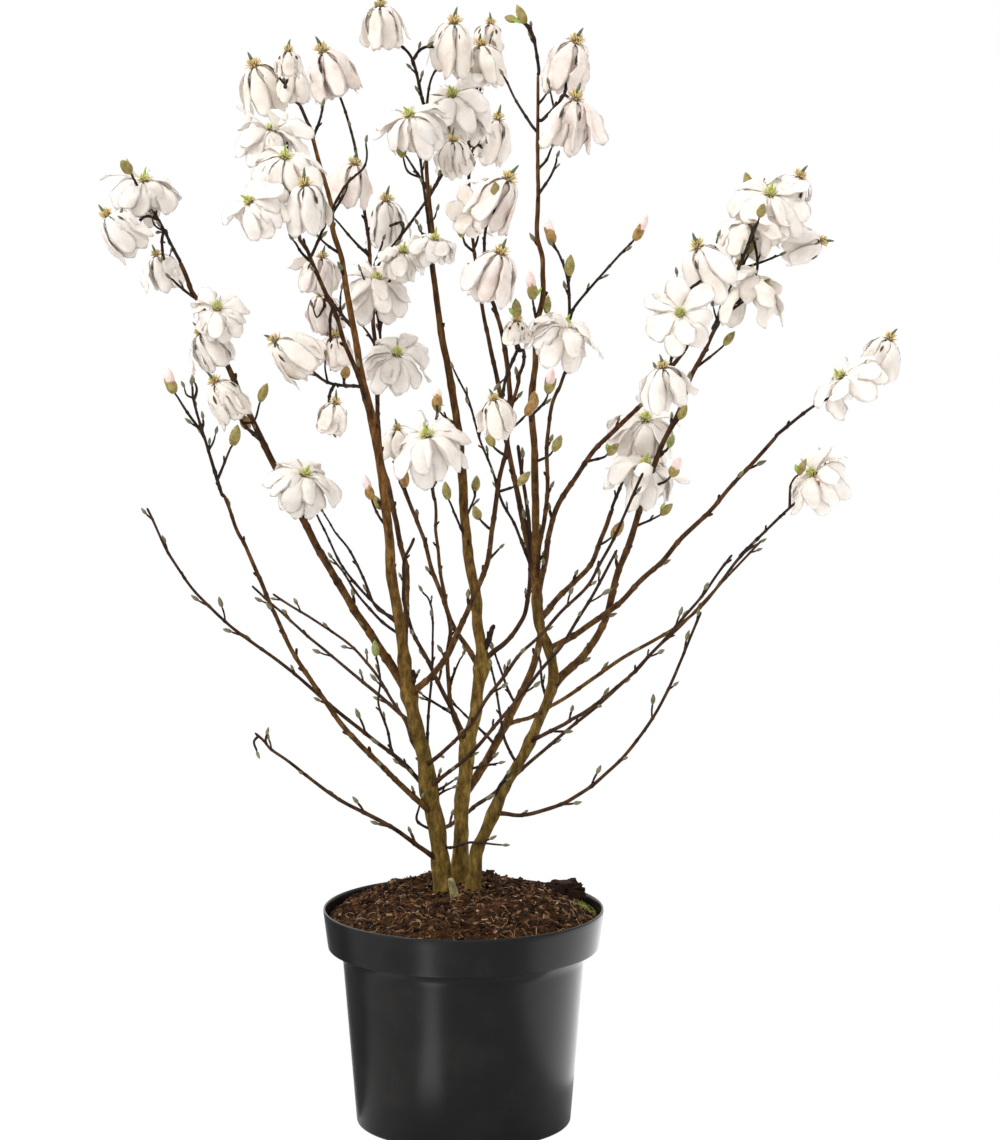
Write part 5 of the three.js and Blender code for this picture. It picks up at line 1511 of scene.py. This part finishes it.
def clod_piece():
    """A big broken lump of bark on the soil near the rim"""
    seed = SEEDS["clod"]
    bpy.ops.mesh.primitive_ico_sphere_add(subdivisions=4, radius=0.5)
    clod = bpy.context.object
    clod.name = "bark_clod"
    co = np.zeros(len(clod.data.vertices) * 3)
    clod.data.vertices.foreach_get("co", co)
    co = co.reshape(-1, 3)
    lumps = (0.5 * noise(co * 3.6, seed) + 0.4 * noise(co * 9, seed + 2)
             + 0.2 * noise(co * [10, 10, 30], seed + 1))
    co *= (1 + lumps)[:, None]
    co = np.clip(co, -0.46, 0.46) * np.array([CLOD["length"], CLOD["width"], CLOD["thickness"]])
    cos, sin = math.cos(CLOD["turn"]), math.sin(CLOD["turn"])
    co = co @ np.array([[cos, sin, 0], [-sin, cos, 0], [0, 0, 1]])
    co += np.array([CLOD["across"], CLOD["depth"], CLOD["height"]])
    clod.data.vertices.foreach_set("co", (co * MM).ravel())
    clod.data.materials.append(finishes["chip_dark"])
    clod.data.update()
    return clod


add(clod_piece(), "potting_soil", "soil")

moss = Batch()
rng = np.random.default_rng(SEEDS["moss"])
for _ in range(MOSS_BLADES):
    turn = rng.normal(0.12, 0.12)
    radius = rng.uniform(112, SOIL_INSIDE_RADIUS)
    x, y = radius * math.cos(turn), radius * math.sin(turn) + 8
    foot = np.array([x, y, soil_surface(np.array(x), np.array(y)) - 0.5])
    tip = foot + unit(UP + 0.6 * rng.normal(size=3)) * rng.uniform(1.2, 3.2)
    tube(moss, np.linspace(foot, tip, 3), np.array([0.5, 0.4, 0.1]), 4)
add(moss.piece("moss", finishes["moss"]), "potting_soil", "soil")

stub_batch = Batch()
foot = np.array([STUB["across"], STUB["depth"], SOIL_TOP + GAP])
top = foot + np.array([-STUB["lean"], -1, STUB["height"]])
stub_way = Way([foot, (foot + top) / 2, top])
Limb(stub_way, STUB["foot"], STUB["cut"], SEEDS["stub"], STUB_NODES).mesh(stub_batch, "stub")
add(stub_batch.piece("cut_stub_wood", finishes["cut_wood"]), "cut_wood", "cut_stub")

# ---------------------------------------------------------------- floor, light and camera


def for_camera(nodes, links, plain, seen, into):
    """What the camera sees straight on is one thing, and what lights the plant another"""
    rays = new_node(nodes, "LightPath")
    mixed = new_node(nodes, "MixShader")
    links.new(rays.outputs["Is Camera Ray"], mixed.inputs["Fac"])
    links.new(plain, mixed.inputs[1])
    links.new(seen, mixed.inputs[2])
    links.new(mixed.outputs["Shader"], into)


def floor_finish():
    """White to the eye. As a light it is grey, with a dark wedge that the pot's left edge mirrors"""
    made = finish("floor", [(0.5, 0.5, 0.5), (0.54, 0.54, 0.54)], 300, 0.9)
    nodes, links = made.node_tree.nodes, made.node_tree.links
    place = new_node(nodes, "TexCoord")
    away = new_node(nodes, "Mapping", Location=(-WEDGE_ACROSS * MM, 0, 0))
    parts = new_node(nodes, "SeparateXYZ")
    turn = new_node(nodes, "Math")
    turn.operation = "ARCTAN2"
    span = new_node(nodes, "MapRange", From_Min=math.radians(WEDGE_FROM), From_Max=math.radians(WEDGE_TO))
    ramp = new_node(nodes, "ValToRGB")
    stops = ramp.color_ramp.elements
    stops[0].color = stops[1].color = (*WEDGE_GREYS[0], 1)
    for share in WEDGE_SHARES:
        stops.new(share).color = (*WEDGE_GREYS[1], 1)
    links.new(place.outputs["Object"], away.inputs["Vector"])
    links.new(away.outputs["Vector"], parts.inputs["Vector"])
    links.new(parts.outputs["X"], turn.inputs[0])
    links.new(parts.outputs["Y"], turn.inputs[1])
    links.new(turn.outputs["Value"], span.inputs["Value"])
    links.new(span.outputs["Result"], ramp.inputs["Fac"])
    links.new(ramp.outputs["Color"], nodes["Principled BSDF"].inputs["Base Color"])
    glow = new_node(nodes, "Emission")
    for_camera(nodes, links, nodes["Principled BSDF"].outputs["BSDF"], glow.outputs["Emission"],
               nodes["Material Output"].inputs["Surface"])
    return made


bpy.ops.mesh.primitive_circle_add(
    vertices=FLOOR_SIDES, radius=FLOOR_RADIUS_M, fill_type="NGON", location=(0, 0, -FLOOR_DROP_M))
floor = bpy.context.object
floor.name = "floor"
floor.data.materials.append(floor_finish())

scene = bpy.context.scene
scene.view_settings.view_transform = "Standard"


def white_world():
    """White to the eye. As a light it is brighter on the left than on the right"""
    world = bpy.data.worlds.new("white_studio")
    world.use_nodes = True
    nodes, links = world.node_tree.nodes, world.node_tree.links
    direction = new_node(nodes, "TexCoord")
    parts = new_node(nodes, "SeparateXYZ")
    sideways = new_node(nodes, "MapRange", From_Min=-1, To_Min=LEFT_SKY, To_Max=RIGHT_SKY)
    links.new(direction.outputs["Generated"], parts.inputs["Vector"])
    links.new(parts.outputs["X"], sideways.inputs["Value"])
    links.new(sideways.outputs["Result"], nodes["Background"].inputs["Color"])
    white = new_node(nodes, "Background", Color=(1, 1, 1, 1))
    for_camera(nodes, links, nodes["Background"].outputs["Background"], white.outputs["Background"],
               nodes["World Output"].inputs["Surface"])
    return world


def put(name, data):
    """A light or camera as an object in the scene"""
    made = bpy.data.objects.new(name, data)
    scene.collection.objects.link(made)
    return made


def facing(direction):
    """The turn that makes a light or camera look in a direction"""
    return Vector(direction).to_track_quat("-Z", "Y").to_euler()


def soft_light(name, energy, angle, direction, colour):
    """A sun with a disc of some degrees, which shines in a direction"""
    data = bpy.data.lights.new(name, "SUN")
    data.energy = energy
    data.angle = math.radians(angle)
    data.color = colour
    put(name, data).rotation_euler = facing(direction)


def floor_card(name, energy, turn, distance, width, length):
    """A glowing card on the floor, which the camera doesn't see: it shows in the pot's gloss"""
    data = bpy.data.lights.new(name, "AREA")
    data.shape = "RECTANGLE"
    data.size = width
    data.size_y = length
    data.energy = energy
    light = put(name, data)
    turn = math.radians(turn)
    light.location = (distance * math.sin(turn), -distance * math.cos(turn), 0.002)
    light.rotation_euler = (math.pi, 0, turn)
    light.visible_camera = False


scene.world = white_world()
soft_light("key", energy=1.2, angle=12, direction=(0.8, 0.62, -0.75), colour=(1, 0.975, 0.94))
soft_light("back_fill", energy=0.6, angle=30, direction=(0.5, -0.8, -0.9), colour=(1, 0.99, 0.98))
floor_card("card_left", energy=0.85, turn=-27, distance=0.71, width=0.085, length=0.96)
floor_card("card_right", energy=8.0, turn=118, distance=0.95, width=1.1, length=1.5)

camera_data = bpy.data.cameras.new("camera")
camera_data.sensor_width = SENSOR
camera_data.lens = SENSOR * sheet_distance / PHOTO_HEIGHT
camera_data.clip_end = CLIP_END_M
camera = put("camera", camera_data)
camera.location = Vector(STATION * MM)
camera.rotation_euler = facing(sight_line)
scene.camera = camera
